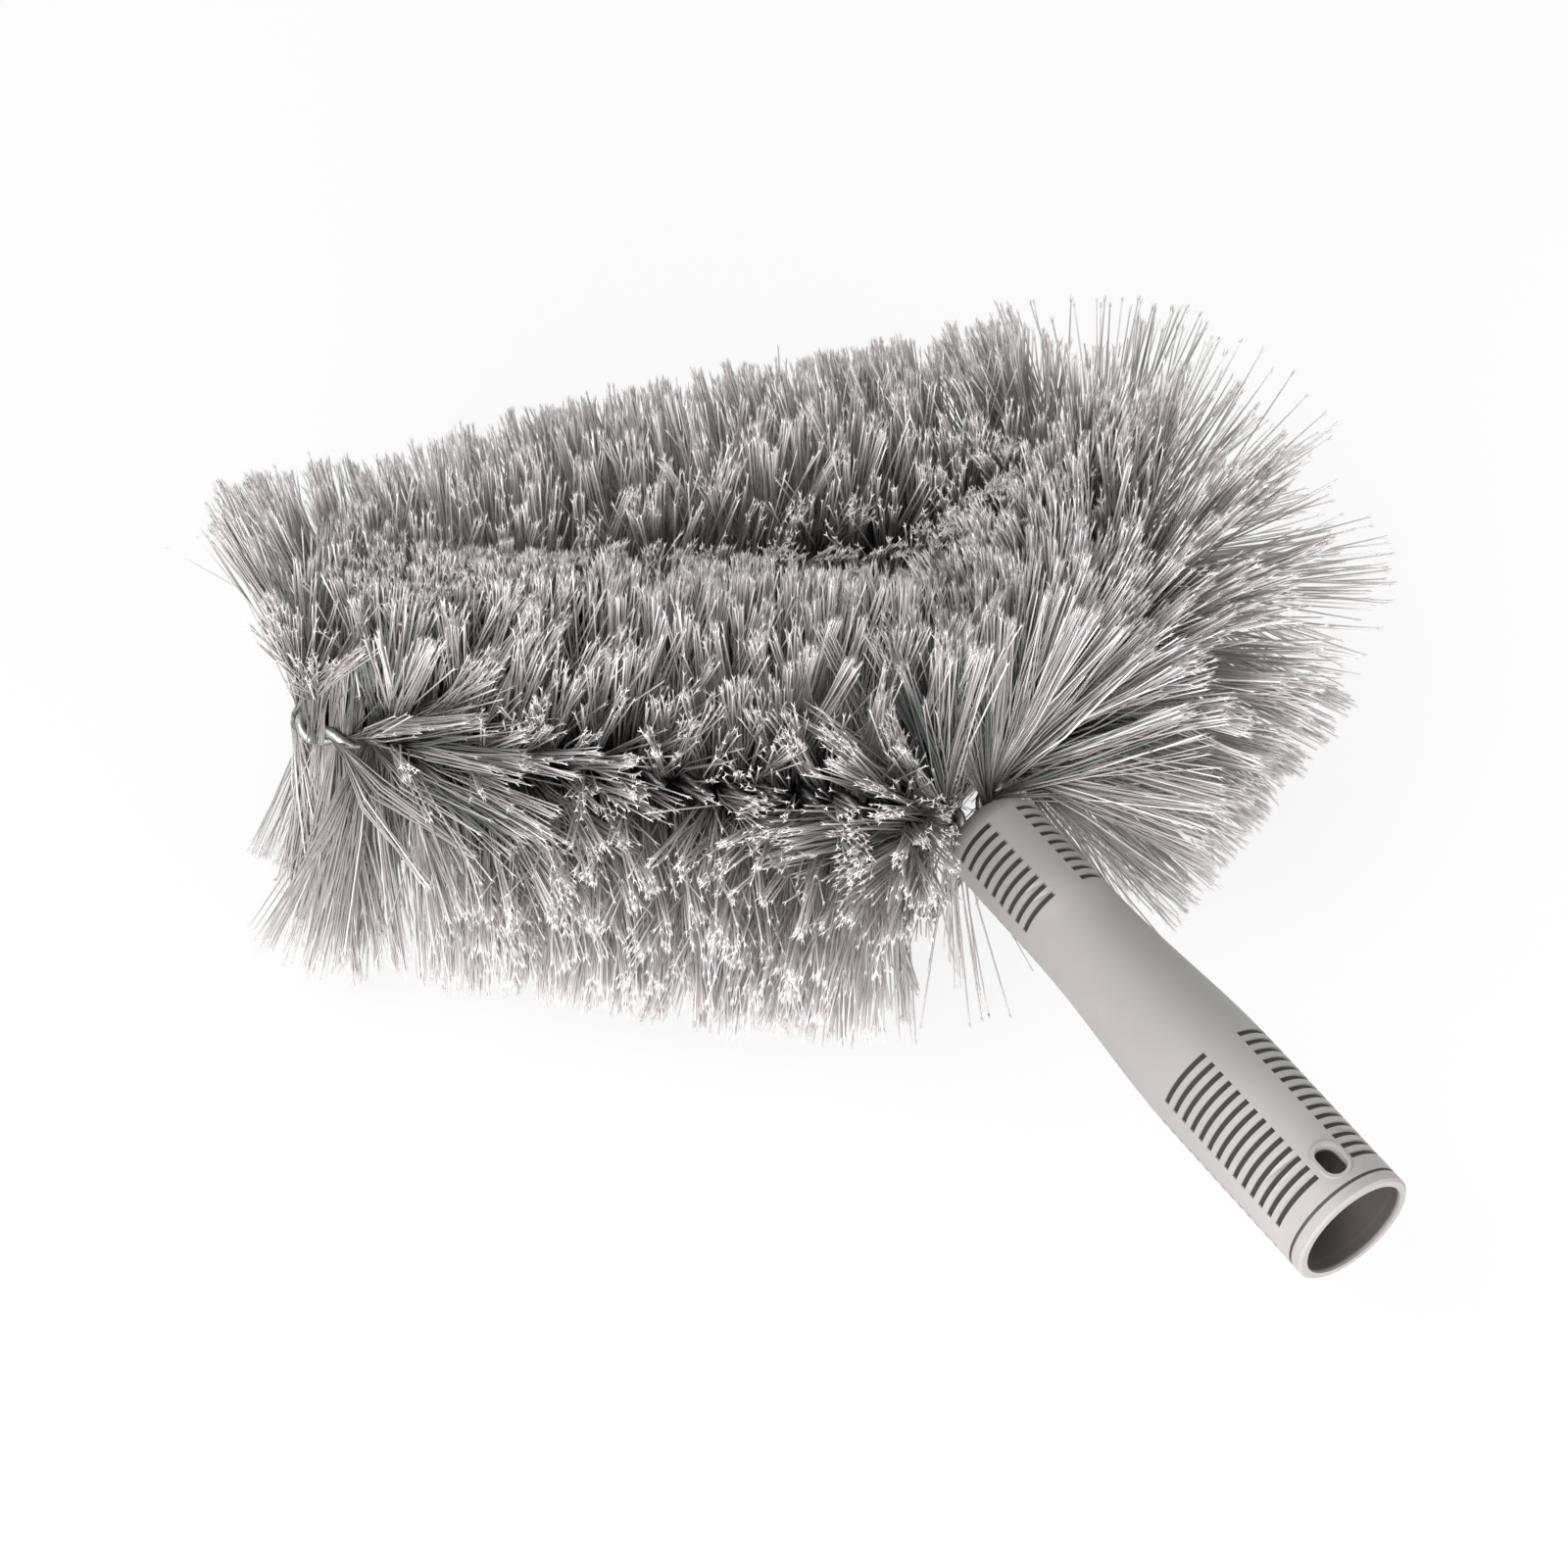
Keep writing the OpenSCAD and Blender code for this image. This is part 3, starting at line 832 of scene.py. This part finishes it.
@dataclass
class Bristles:
    """The filaments of the whole loop, in tufts, with split tips. The fans and raised angles are in degrees."""

    line: Centreline
    reach: float = 58 * MM
    reach_stir: float = 0.02
    hair_stir: float = 0.014
    shaft_r: float = 0.25 * MM
    root_share: float = 0.8
    tip_share: float = 0.9
    tip_rise: float = 0.3
    root_stir: float = 0.35 * MM
    row_half_mm: float = 0.35
    tuft_pitch: float = 0.13 * MM
    arm_shares: tuple[float, ...] = (1.03, 0.98, 1.0)
    bend_share: float = 0.6
    kink_share: float = 0.85
    tuft_sizes: tuple[int, ...] = (3, 7, 12, 18)
    tuft_odds: tuple[float, ...] = (0.3, 0.3, 0.25, 0.15)
    lowest_z: float = -55.98 * MM
    spread: float = math.radians(20)
    bend_spread: float = math.radians(45)
    most_spread: float = math.radians(70)
    tuft_lean: float = math.radians(7.5)
    tuft_open: float = math.radians(1.1)
    bend_open: float = math.radians(3)
    open_share: Range = (0.6, 2.0)
    stray_share: float = 0.07
    stray_open: float = math.radians(9)
    short_share: float = 0.08
    short_lengths: Range = (0.7, 0.95)
    bow: float = 0.018
    mid_share: float = 0.42
    mid_turn: float = 0.6
    mid_lean: float = 0.85
    split_len: float = 2.1 * MM
    split_lengths: Range = (0.7, 1.2)
    split_open: float = math.radians(17)
    split_opens: Range = (0.5, 1.5)
    rising_from: float = 0.3
    overlap_mm: Range = (-8, 6)
    least_room: float = 3 * MM
    bend_room: float = 0.1
    bend_lengths: tuple[float, ...] = (0.88, 0.97, 1.06)
    bend_odds: tuple[float, ...] = (0.25, 0.35, 0.4)
    front_fan: tuple[float, ...] = (100, 150, -55, -12)
    back_fan: tuple[float, ...] = (25, 85, -100, -80)
    arc_fan: tuple[float, ...] = (92, 122, -114, -92)
    arc_fades: float = 12 * MM
    parted_until: float = 4 * MM
    whole_from: float = 15 * MM
    front_lean_run: float = 115 * MM
    side_lean_run: float = 48 * MM
    least_lean: float = math.radians(8)
    most_lean: float = math.radians(56)
    lean_share: Range = (0.5, 1.15)
    kink_lean_share: float = 0.4
    front_lean_angle: float = math.radians(30)
    side_lean_angle: float = math.radians(80)
    kink_flare: float = math.radians(-13)
    kink_flare_fades: float = 18 * MM
    fan_overlap: float = 40 * MM
    over_wire: float = 2.9 * MM
    over_share: Range = (0.8, 1.15)
    facing_out: float = 0.55
    laid_share: float = 0.25
    laid_from: float = 2 * MM
    low_flare: float = math.radians(9)
    low_flare_fades: float = 8 * MM
    front_nose_run: float = 16.5 * MM
    side_nose_run: float = 27 * MM
    front_under: Range = (math.radians(-75), -0.05)
    side_under: Range = (math.radians(-115), 0.25)
    raised_by: Range = (0, 60)
    front_raised: float = 15
    side_raised: float = 60
    nose_share: float = 0.015
    pushed_share: float = 0.6
    handle_side: float = 18 * MM
    handle_under: float = -15 * MM
    handle_end: float = 143 * MM
    looked_at: tuple[float, ...] = (0.5, 0.75, 1.0)
    nose_stir: float = math.radians(18)
    nose_stirs: Range = (-0.05, 0.7)
    bend_flare: float = math.radians(-14)
    bend_flare_fades: float = 20 * MM
    side_flare: float = math.radians(-13)
    bend_long: float = 0.04
    kink_long: float = 0.06
    long_fades: float = 28 * MM
    cool_run: float = 24 * MM
    cool_share: float = 0.3
    # share of filaments with painted glints, and their tones
    painted_glint_share: float = 0.18
    cool_tones: Range = (0.02, 0.12)
    plain_tones: Range = (0.2, 0.84)
    loose_tones: Range = (0.2, 0.8)
    painted_glint_tones: Range = (0.9, 0.98)
    tone_stir: float = 0.1
    map_step: float = 2 / 1024
    map_heights: tuple[float, ...] = (0, 0.42, 0.88, 0.9, 1)
    finish: Filament = field(default_factory=Filament)

    def stretches(self) -> list[Stretch]:
        """Splits the loop as the solids are split, with the small bends of the nose and the kink shared out.

        Returns:
            One stretch for each solid with bristles.
        """
        line = self.line
        kink = (line.ends[1] + line.starts[2]) / 2
        runs = [
            ("front", Arm.FRONT, line.ends[0], kink, (11, 12, 13, 14, 51)),
            ("back", Arm.BACK, kink, line.ends[3], (74, 24, 25, 26, 27, 28)),
            ("side", Arm.SIDE, line.starts[4], line.starts[5], (41, 42)),
        ]
        made = []
        for name, arm, start, end, seeds in runs:
            each = (end - start) / len(seeds)
            for i, seed in enumerate(seeds):
                low = start + i * each
                made.append(Stretch(f"bristles_{name}_{i + 1}", arm, low, low + each, seed))
        made.append(Stretch("bristles_bend", Arm.BACK, line.ends[3], line.starts[4], 37, True))
        return made

    def _tufts(self, stretch: Stretch, rng: np.random.Generator) -> Tufts:
        """Sets out the tufts along the two rows that the twist winds round the wire.

        Args:
            stretch: the run of wire.
            rng: the stretch's random numbers.

        Returns:
            One entry for each tuft.
        """
        line = self.line
        span = stretch.end - stretch.start
        count = int(span / self.tuft_pitch * (self.bend_share if stretch.round_bend else 1))
        s = stretch.start + (np.arange(count) + rng.uniform(0, 1, count)) * span / count
        s = s[rng.uniform(0, 1, count) < self.kink_share + self._rise(self._off_kink(s))]
        row = math.pi * rng.integers(0, 2, len(s))
        spread = self.bend_spread if stretch.round_bend else self.spread
        wander = rng.normal(0, spread, len(s)).clip(-self.most_spread, self.most_spread)
        angle = line.phase(s) + math.pi / 2 + row + wander
        angle = np.arctan2(np.sin(angle), np.cos(angle))
        under = self._under_nose(s, angle)
        fate = rng.uniform(0, 1, len(s))
        kept = ~under | (fate < self.nose_share + self.pushed_share)
        pushed = (under & (fate > self.nose_share))[kept]
        s, angle = s[kept], angle[kept]
        count = len(s)
        least = self.front_raised if stretch.arm is Arm.FRONT else self.side_raised
        angle = np.where(pushed, np.radians(rng.uniform(*self.raised_by, count) + least), angle)
        length = self.reach * self.arm_shares[stretch.arm.value]
        length = length * (1 + rng.normal(0, self.reach_stir, count))
        to_bend = np.maximum(line.ends[3] - s, s - line.starts[4]).clip(0)
        round_it = ((s - line.ends[3]) / (line.starts[4] - line.ends[3])).clip(0, 1)
        length *= 1 + self.bend_long * (1 + round_it) * np.exp(-to_bend / self.long_fades)
        if stretch.arm is Arm.BACK:
            length *= 1 + self.kink_long * np.exp(-self._off_kink(s).clip(0) / self.long_fades)
        if stretch.round_bend:
            length *= rng.choice(self.bend_lengths, count, p=self.bend_odds)
        lean = rng.normal(0, self.tuft_lean, count)
        overlap = rng.uniform(*self.overlap_mm, count) * MM
        off_joint = np.minimum(np.abs(s - line.ends[0]), np.abs(s - line.starts[5]))
        near = np.minimum(off_joint, self._off_kink(s)) < self.cool_run
        near &= (np.sin(angle) > self.rising_from) & (stretch.arm is not Arm.BACK)
        cool = near & (rng.uniform(0, 1, count) < self.cool_share)
        cools = rng.uniform(*self.cool_tones, count)
        tone = np.where(cool, cools, rng.uniform(*self.plain_tones, count))
        tufts = Tufts(s, angle, lean, length, tone, overlap, np.zeros(count))
        self._comb(stretch, tufts, rng)
        return tufts

    def _under_nose(self, s: Numbers, angle: Numbers) -> Numbers:
        """Whether tufts hang under the wire next to the nose, where the handle has pushed most of them up.

        Args:
            s: places along the wire.
            angle: the tufts' angles round it.

        Returns:
            One truth for each tuft.
        """
        front = np.cos(angle - self.front_under[0]) > self.front_under[1]
        side = np.cos(angle - self.side_under[0]) > self.side_under[1]
        front &= s < self.line.ends[0] + self.front_nose_run
        return front | (side & (s > self.line.starts[5] - self.side_nose_run))

    def _off_kink(self, s: Numbers) -> Numbers:
        """Distances from the kink's arc, below 0 on the arc itself."""
        return np.maximum(self.line.ends[1] - s, s - self.line.starts[2])

    def _rise(self, off_kink: Numbers) -> Numbers:
        """Rises from 0 at the kink to 1 where the folding of the wire no longer shows."""
        return ((off_kink - self.parted_until) / (self.whole_from - self.parted_until)).clip(0, 1)

    def _comb(self, stretch: Stretch, tufts: Tufts, rng: np.random.Generator) -> None:
        """Turns and leans the tufts near the kink and the bend as the folding of the wire has left them.

        Args:
            stretch: the run of wire.
            tufts: its tufts, which are changed.
            rng: the stretch's random numbers.
        """
        line, s, angle = self.line, tufts.s, tufts.angle
        count = len(s)
        off = self._off_kink(s)
        rise = self._rise(off)
        fan = self.front_fan if stretch.arm is Arm.FRONT else self.back_fan
        folded = (1 - off.clip(0) / self.arc_fades).clip(0)
        upper = np.where((off < 0)[:, None], self.arc_fan[:2], fan[:2])
        lower = folded[:, None] * self.arc_fan[2:] + (1 - folded[:, None]) * fan[2:]
        rising = np.sin(angle) > self.rising_from
        limits = np.radians(np.where(rising[:, None], upper, lower))
        laid = self.laid_share * (off > self.laid_from) * (stretch.arm is Arm.FRONT)
        parted = rng.uniform(0, 1, count) >= np.maximum(rise, laid)
        tufts.overlap[parted & rising] = self.fan_overlap
        tufts.out = self.over_wire * (parted & (off < self.laid_from) & (np.cos(angle) > self.facing_out))
        fanned = limits[:, 0] + (limits[:, 1] - limits[:, 0]) * rng.uniform(0, 1, count)
        tufts.angle = angle = np.where(parted, fanned, angle)
        tufts.lean *= self.kink_lean_share + (1 - self.kink_lean_share) * rise
        if stretch.arm is Arm.FRONT:
            away = self._lean(angle, self.front_lean_angle, rng)
            away *= (1 - off / self.front_lean_run).clip(0)
            down = self.low_flare * np.exp(-off.clip(0) / self.low_flare_fades) * ~rising
            tufts.lean += np.where(parted, down, -away)
            stir = rng.normal(0, self.nose_stir, count).clip(*self.nose_stirs)
            tufts.lean += stir * (s < line.ends[0] + self.front_nose_run)
        if stretch.arm is Arm.SIDE:
            to_nose = (line.starts[5] - s).clip(0)
            away = self._lean(angle, self.side_lean_angle, rng) - self.least_lean
            tufts.lean -= away * (1 - to_nose / self.side_lean_run).clip(0)
            tufts.lean += self.side_flare * np.exp(-(s - line.starts[4]) / self.bend_flare_fades)
        if stretch.arm is Arm.BACK:
            tufts.lean += self.kink_flare * np.exp(-off.clip(0) / self.kink_flare_fades) * parted
            if not stretch.round_bend:
                to_bend = (line.ends[3] - s).clip(0)
                tufts.lean += self.bend_flare * np.exp(-to_bend / self.bend_flare_fades)

    def _lean(self, angle: Numbers, middle: float, rng: np.random.Generator) -> Numbers:
        """How far tufts next to a sharp corner lean away from it.

        Args:
            angle: the tufts' angles round the wire.
            middle: the angle at which they lean most.
            rng: the stretch's random numbers.

        Returns:
            The lean of each tuft.
        """
        most = self.least_lean + (self.most_lean - self.least_lean) * np.cos(angle - middle).clip(0) ** 2
        return most * rng.uniform(*self.lean_share, len(angle))

    def _filaments(self, tufts: Tufts, rng: np.random.Generator, open_by: float) -> Tufts:
        """Splits tufts into filaments.

        Args:
            tufts: one entry a tuft.
            rng: the stretch's random numbers.
            open_by: how far the filaments of a tuft spread.

        Returns:
            One entry for each filament.
        """
        sizes = rng.choice(self.tuft_sizes, len(tufts.s), p=self.tuft_odds)
        opens = open_by * rng.uniform(*self.open_share, len(tufts.s))
        which = np.repeat(np.arange(len(tufts.s)), sizes)
        n = len(which)
        shortened = rng.uniform(0, 1, n) < self.short_share
        short = np.where(shortened, rng.uniform(*self.short_lengths, n), 1.0)
        joint = np.minimum(tufts.s - self.line.ends[0], self.line.starts[5] - tufts.s)
        tangled = self.stray_share * self._rise(self._off_kink(tufts.s)) * (joint > self.side_nose_run)
        stray = rng.uniform(0, 1, n) < tangled[which]
        stray |= self._under_nose(tufts.s, tufts.angle)[which]
        opening = np.where(stray, self.stray_open, opens[which])
        tone = tufts.tone[which]
        warm = tone > self.finish.cool_until
        # filaments picked for painted glints
        painted_glint = (rng.uniform(0, 1, n) < self.painted_glint_share) & warm
        stirred = tone + rng.uniform(-self.tone_stir, self.tone_stir, n)
        tone = np.where(warm, stirred.clip(*self.plain_tones), tone)
        return Tufts(
            tufts.s[which] + rng.normal(0, self.root_stir, n),
            tufts.angle[which] + rng.normal(0, 1, n) * opening,
            tufts.lean[which] + rng.normal(0, 1, n) * opening,
            tufts.length[which] * (1 + rng.normal(0, self.hair_stir, n)) * short,
            np.where(painted_glint, rng.uniform(*self.painted_glint_tones, n), tone),
            tufts.overlap[which],
            tufts.out[which] * rng.uniform(*self.over_share, n),
        )

    def _grow(self, stretch: Stretch) -> tuple[Numbers, Numbers, Numbers]:
        """Grows the filaments of one stretch.

        Args:
            stretch: the run of wire.

        Returns:
            Vertices, faces and the place of each vertex on the map.
        """
        rng = np.random.default_rng(stretch.seed)
        line = self.line
        open_by = self.bend_open if stretch.round_bend else self.tuft_open
        hairs = self._filaments(self._tufts(stretch, rng), rng, open_by)
        n = len(hairs.s)
        points, headings = line.at(hairs.s)
        inward = np.cos(hairs.angle) < 0
        room = line.room(stretch.arm, points, headings) + hairs.overlap
        limit = room.clip(self.least_room) / self.reach
        if stretch.round_bend:
            limit = np.full(n, self.bend_room)
        flat = np.abs(np.cos(hairs.angle))
        held = np.where(inward & (flat > limit), limit, flat).clip(0, 1)
        up = np.where(np.sin(hairs.angle) >= 0, 1.0, -1.0)
        tip_angle = np.where(inward, up * (math.pi - np.arccos(held)), hairs.angle)
        swing = (tip_angle - hairs.angle + math.pi) % (2 * math.pi) - math.pi
        mid_angle = hairs.angle + self.mid_turn * swing

        tip_way = self._way(headings, tip_angle, hairs.lean)
        mid_way = self._way(headings, mid_angle, self.mid_lean * hairs.lean)
        aside = rng.uniform(-self.row_half_mm, self.row_half_mm, n)[:, None] * MM
        root = points + aside * line.spoke(headings, line.phase(hairs.s))
        root += hairs.out[:, None] * line.spoke(headings, np.zeros(n))
        bow = rng.normal(0, self.bow, (n, 3)) * hairs.length[:, None]
        split = self.split_len * rng.uniform(*self.split_lengths, n)
        middle = root + self.mid_share * hairs.length[:, None] * mid_way + bow
        end = root + (hairs.length - split)[:, None] * tip_way
        clear = ~self._on_handle(root, middle, end)
        grown = [p[clear] for p in (root, middle, end, split, line.ahead(headings), hairs.tone)]
        if stretch.node in LOOSE:
            laid = LOOSE[stretch.node].lay(line, rng)
            more = len(laid[0])
            tones = rng.uniform(*self.loose_tones, more)
            extra = (*laid, np.full(more, self.split_len), grown[4][:more], tones)
            grown = [np.concatenate(pair) for pair in zip(grown, extra, strict=True)]
        return self._mesh(rng, *grown)

    def _on_handle(self, root: Numbers, middle: Numbers, end: Numbers) -> Numbers:
        """Whether filaments would run over or through the handle, which has none over it in the real brush.

        Args:
            root: where the filaments start.
            middle: a point on the way.
            end: where their tips split.

        Returns:
            One truth for each filament.
        """
        found = np.zeros(len(root), dtype=bool)
        for share in self.looked_at:
            for first, last in ((root, middle), (middle, end)):
                place = first + share * (last - first)
                beside = (np.abs(place[:, 0]) < self.handle_side) & (place[:, 2] > self.handle_under)
                found |= beside & (place[:, 1] < self.handle_end)
        return found

    def _way(self, headings: Numbers, angles: Numbers, leans: Numbers) -> Numbers:
        """Unit vectors at an angle round the wire that lean along it.

        Args:
            headings: the wire's headings.
            angles: angles round it.
            leans: how far the vectors lean along it.

        Returns:
            One vector for each heading.
        """
        square = self.line.spoke(headings, angles)
        return np.cos(leans)[:, None] * square + np.sin(leans)[:, None] * self.line.ahead(headings)

    def _mesh(
        self,
        rng: np.random.Generator,
        root: Numbers,
        middle: Numbers,
        end: Numbers,
        split: Numbers,
        ahead: Numbers,
        tone: Numbers,
    ) -> tuple[Numbers, Numbers, Numbers]:
        """Draws each filament as one closed three-sided skin whose end splits into three points.

        Args:
            rng: the stretch's random numbers.
            root: where the filaments start.
            middle: a point on the way.
            end: where their tips split.
            split: lengths of the split tips.
            ahead: unit vectors along the wire.
            tone: from 0 for the darkest filament to 1 for the palest; the palest ones carry painted glints.

        Returns:
            Vertices, faces and the place of each vertex on the map.
        """
        n = len(root)
        way = end - middle
        way /= np.linalg.norm(way, axis=1, keepdims=True)
        across = np.cross(way, ahead)
        across /= np.linalg.norm(across, axis=1, keepdims=True)
        beside = np.cross(way, across)
        spin = rng.uniform(0, 2 * math.pi, n)

        def round_way(turn: float) -> Numbers:
            """Unit vectors square to the filaments."""
            return np.cos(spin + turn)[:, None] * across + np.sin(spin + turn)[:, None] * beside

        corners = [round_way(2 * math.pi * k / 3) for k in range(3)]
        points_at = [round_way(2 * math.pi * k / 3 + math.pi / 3) for k in range(3)]
        opening = self.split_open * rng.uniform(*self.split_opens, (3, n))
        rings = [root + self.root_share * self.shaft_r * c for c in corners]
        rings += [middle + self.shaft_r * c for c in corners]
        rings += [end + self.tip_share * self.shaft_r * c for c in corners]
        rings.append(end + self.tip_rise * self.shaft_r * way)
        for turned, p in zip(opening, points_at, strict=True):
            rings.append(end + split[:, None] * (way + np.tan(turned)[:, None] * p))
        vertices = np.stack(rings, 1)
        vertices[:, :, 2] = vertices[:, :, 2].clip(self.lowest_z)
        tube = [
            face
            for low in (0, 3)
            for k in range(3)
            for face in (
                (low + k, low + (k + 1) % 3, low + 3 + (k + 1) % 3),
                (low + k, low + 3 + (k + 1) % 3, low + 3 + k),
            )
        ]
        tips = [
            face
            for k, after in ((0, 1), (1, 2), (2, 0))
            for face in ((6 + k, 6 + after, 10 + k), (6 + after, 9, 10 + k), (9, 6 + k, 10 + k))
        ]
        one = np.array([(0, 2, 1), *tube, *tips])
        faces = (np.arange(n) * vertices.shape[1])[:, None, None] + one[None]
        sideways = np.array([0, 1, 2, 0, 1, 2, 0, 1, 2, 1, 0.5, 1.5, 2]) * self.map_step
        up = np.repeat(self.map_heights, (3, 3, 3, 1, 3))
        layout = np.stack([tone[:, None] + sideways[None], np.broadcast_to(up, (n, len(up)))], -1)
        return vertices.reshape(-1, 3), faces.reshape(-1, 3), layout.reshape(-1, 2)

    def build(self) -> None:
        """Makes every section in place of its solid."""
        material = self.finish.material()
        for stretch in self.stretches():
            points, faces, layout = self._grow(stretch)
            name = stretch.node.replace("bristles", "filaments")
            piece = new_mesh_piece(name, points, faces, layout, self.finish.map_name)
            stand_for(piece, stretch.node, material)


@dataclass
class Studio:
    """The floor, the light and the camera. None of it is part of the brush."""

    floor_z: float = -56 * MM
    floor_half: float = 3.0
    floor_colour: Colour = (0.82, 0.82, 0.82)
    glow: float = 0.86
    sky: float = 0.52
    camera_place: Colour = (-0.4609, -0.4243, 0.9613)
    camera_way: Colour = (0.3525, 0.4997, -0.7912)
    camera_right: Colour = (0.8171, -0.5764, 0.0)
    lens: float = 112.5
    sensor: float = 36.0
    far: float = 20.0
    lamps_aim: Colour = (0.0, 0.18, 0.0)

    def _seen(self, sheet: Sheet) -> Value:
        """Tells rays that show a thing from rays that light it.

        Args:
            sheet: the node sheet of the floor or the sky.

        Returns:
            1 for a ray from the camera, off metal or through glass, and 0 for light.
        """
        path = sheet.node("ShaderNodeLightPath")
        names = ("Camera", "Glossy", "Transmission")
        rays = [Value(sheet, path.outputs[f"Is {name} Ray"]) for name in names]
        return rays[0].maths("MAXIMUM", rays[1]).maths("MAXIMUM", rays[2])

    def floor(self) -> None:
        """Lays a pale floor that shows white and keeps the brush's shadow."""
        half, low = self.floor_half, self.floor_z
        mesh = bpy.data.meshes.new("floor")
        corners = [(-half, -half, low), (half, -half, low), (half, half, low), (-half, half, low)]
        mesh.from_pydata(corners, [], [(0, 1, 2, 3)])
        piece = bpy.data.objects.new("floor", mesh)
        bpy.context.scene.collection.objects.link(piece)
        material = bpy.data.materials.new("floor_pale")
        sheet = Sheet(material)
        paint = sheet.node("ShaderNodeBsdfDiffuse", None, {"Color": (*self.floor_colour, 1.0)})
        white = sheet.node("ShaderNodeEmission", None, {"Color": WHITE, "Strength": 1.0})
        inputs = {0: self._seen(sheet) * self.glow, 1: paint.outputs[0], 2: white.outputs[0]}
        both = sheet.node("ShaderNodeMixShader", None, inputs)
        sheet.node("ShaderNodeOutputMaterial", None, {"Surface": both.outputs[0]})
        mesh.materials.append(material)

    def light(self) -> None:
        """Sets an even pale sky, a soft lamp overhead, one in front and a low one at each side."""
        world = bpy.data.worlds.new("studio")
        bpy.context.scene.world = world
        sheet = Sheet(world)
        seen = self._seen(sheet)
        strength = seen + (1 - seen) * self.sky
        sky = sheet.node("ShaderNodeBackground", None, {"Color": WHITE, "Strength": strength})
        sheet.node("ShaderNodeOutputWorld", None, {"Surface": sky.outputs[0]})
        lamps = {
            "key": ((-0.62, 0.2, 0.93), 0.6, 5.9),
            "fill": ((0.2, -0.95, 0.6), 0.9, 5.0),
            "low_left": ((-0.95, -0.65, 0.32), 0.7, 18.0),
            "low_right": ((0.9, -0.45, 0.32), 0.7, 2.0),
        }
        for name, (place, size, power) in lamps.items():
            lamp = bpy.data.lights.new(name, "AREA")
            lamp.size = size
            lamp.energy = power
            holder = bpy.data.objects.new(name, lamp)
            holder.location = place
            aim = Vector(self.lamps_aim) - Vector(place)
            holder.rotation_euler = aim.to_track_quat("-Z", "Y").to_euler()
            bpy.context.scene.collection.objects.link(holder)

    def camera(self) -> None:
        """Places the camera at the photograph's angle."""
        data = bpy.data.cameras.new("camera")
        data.lens = self.lens
        data.sensor_width = self.sensor
        data.clip_end = self.far
        holder = bpy.data.objects.new("camera", data)
        way, right = Vector(self.camera_way).normalized(), Vector(self.camera_right).normalized()
        turned = Matrix((right, right.cross(way), -way)).transposed()
        holder.matrix_world = Matrix.Translation(self.camera_place) @ turned.to_4x4()
        bpy.context.scene.collection.objects.link(holder)
        bpy.context.scene.camera = holder

    def build(self) -> None:
        """Makes the floor, the light and the camera."""
        self.floor()
        self.light()
        self.camera()
        bpy.context.scene.view_settings.view_transform = "Standard"


def main() -> None:
    """Builds the brush in order and reports each piece."""
    logging.basicConfig(level=logging.INFO, format="%(message)s")
    line = Centreline(LoopSizes())
    handle = Handle()
    steel = handle.steel.material()
    handle.dress(steel)
    WirePair(line).build(steel)
    Bristles(line).build()
    Studio().build()


if __name__ == "__main__":
    main()
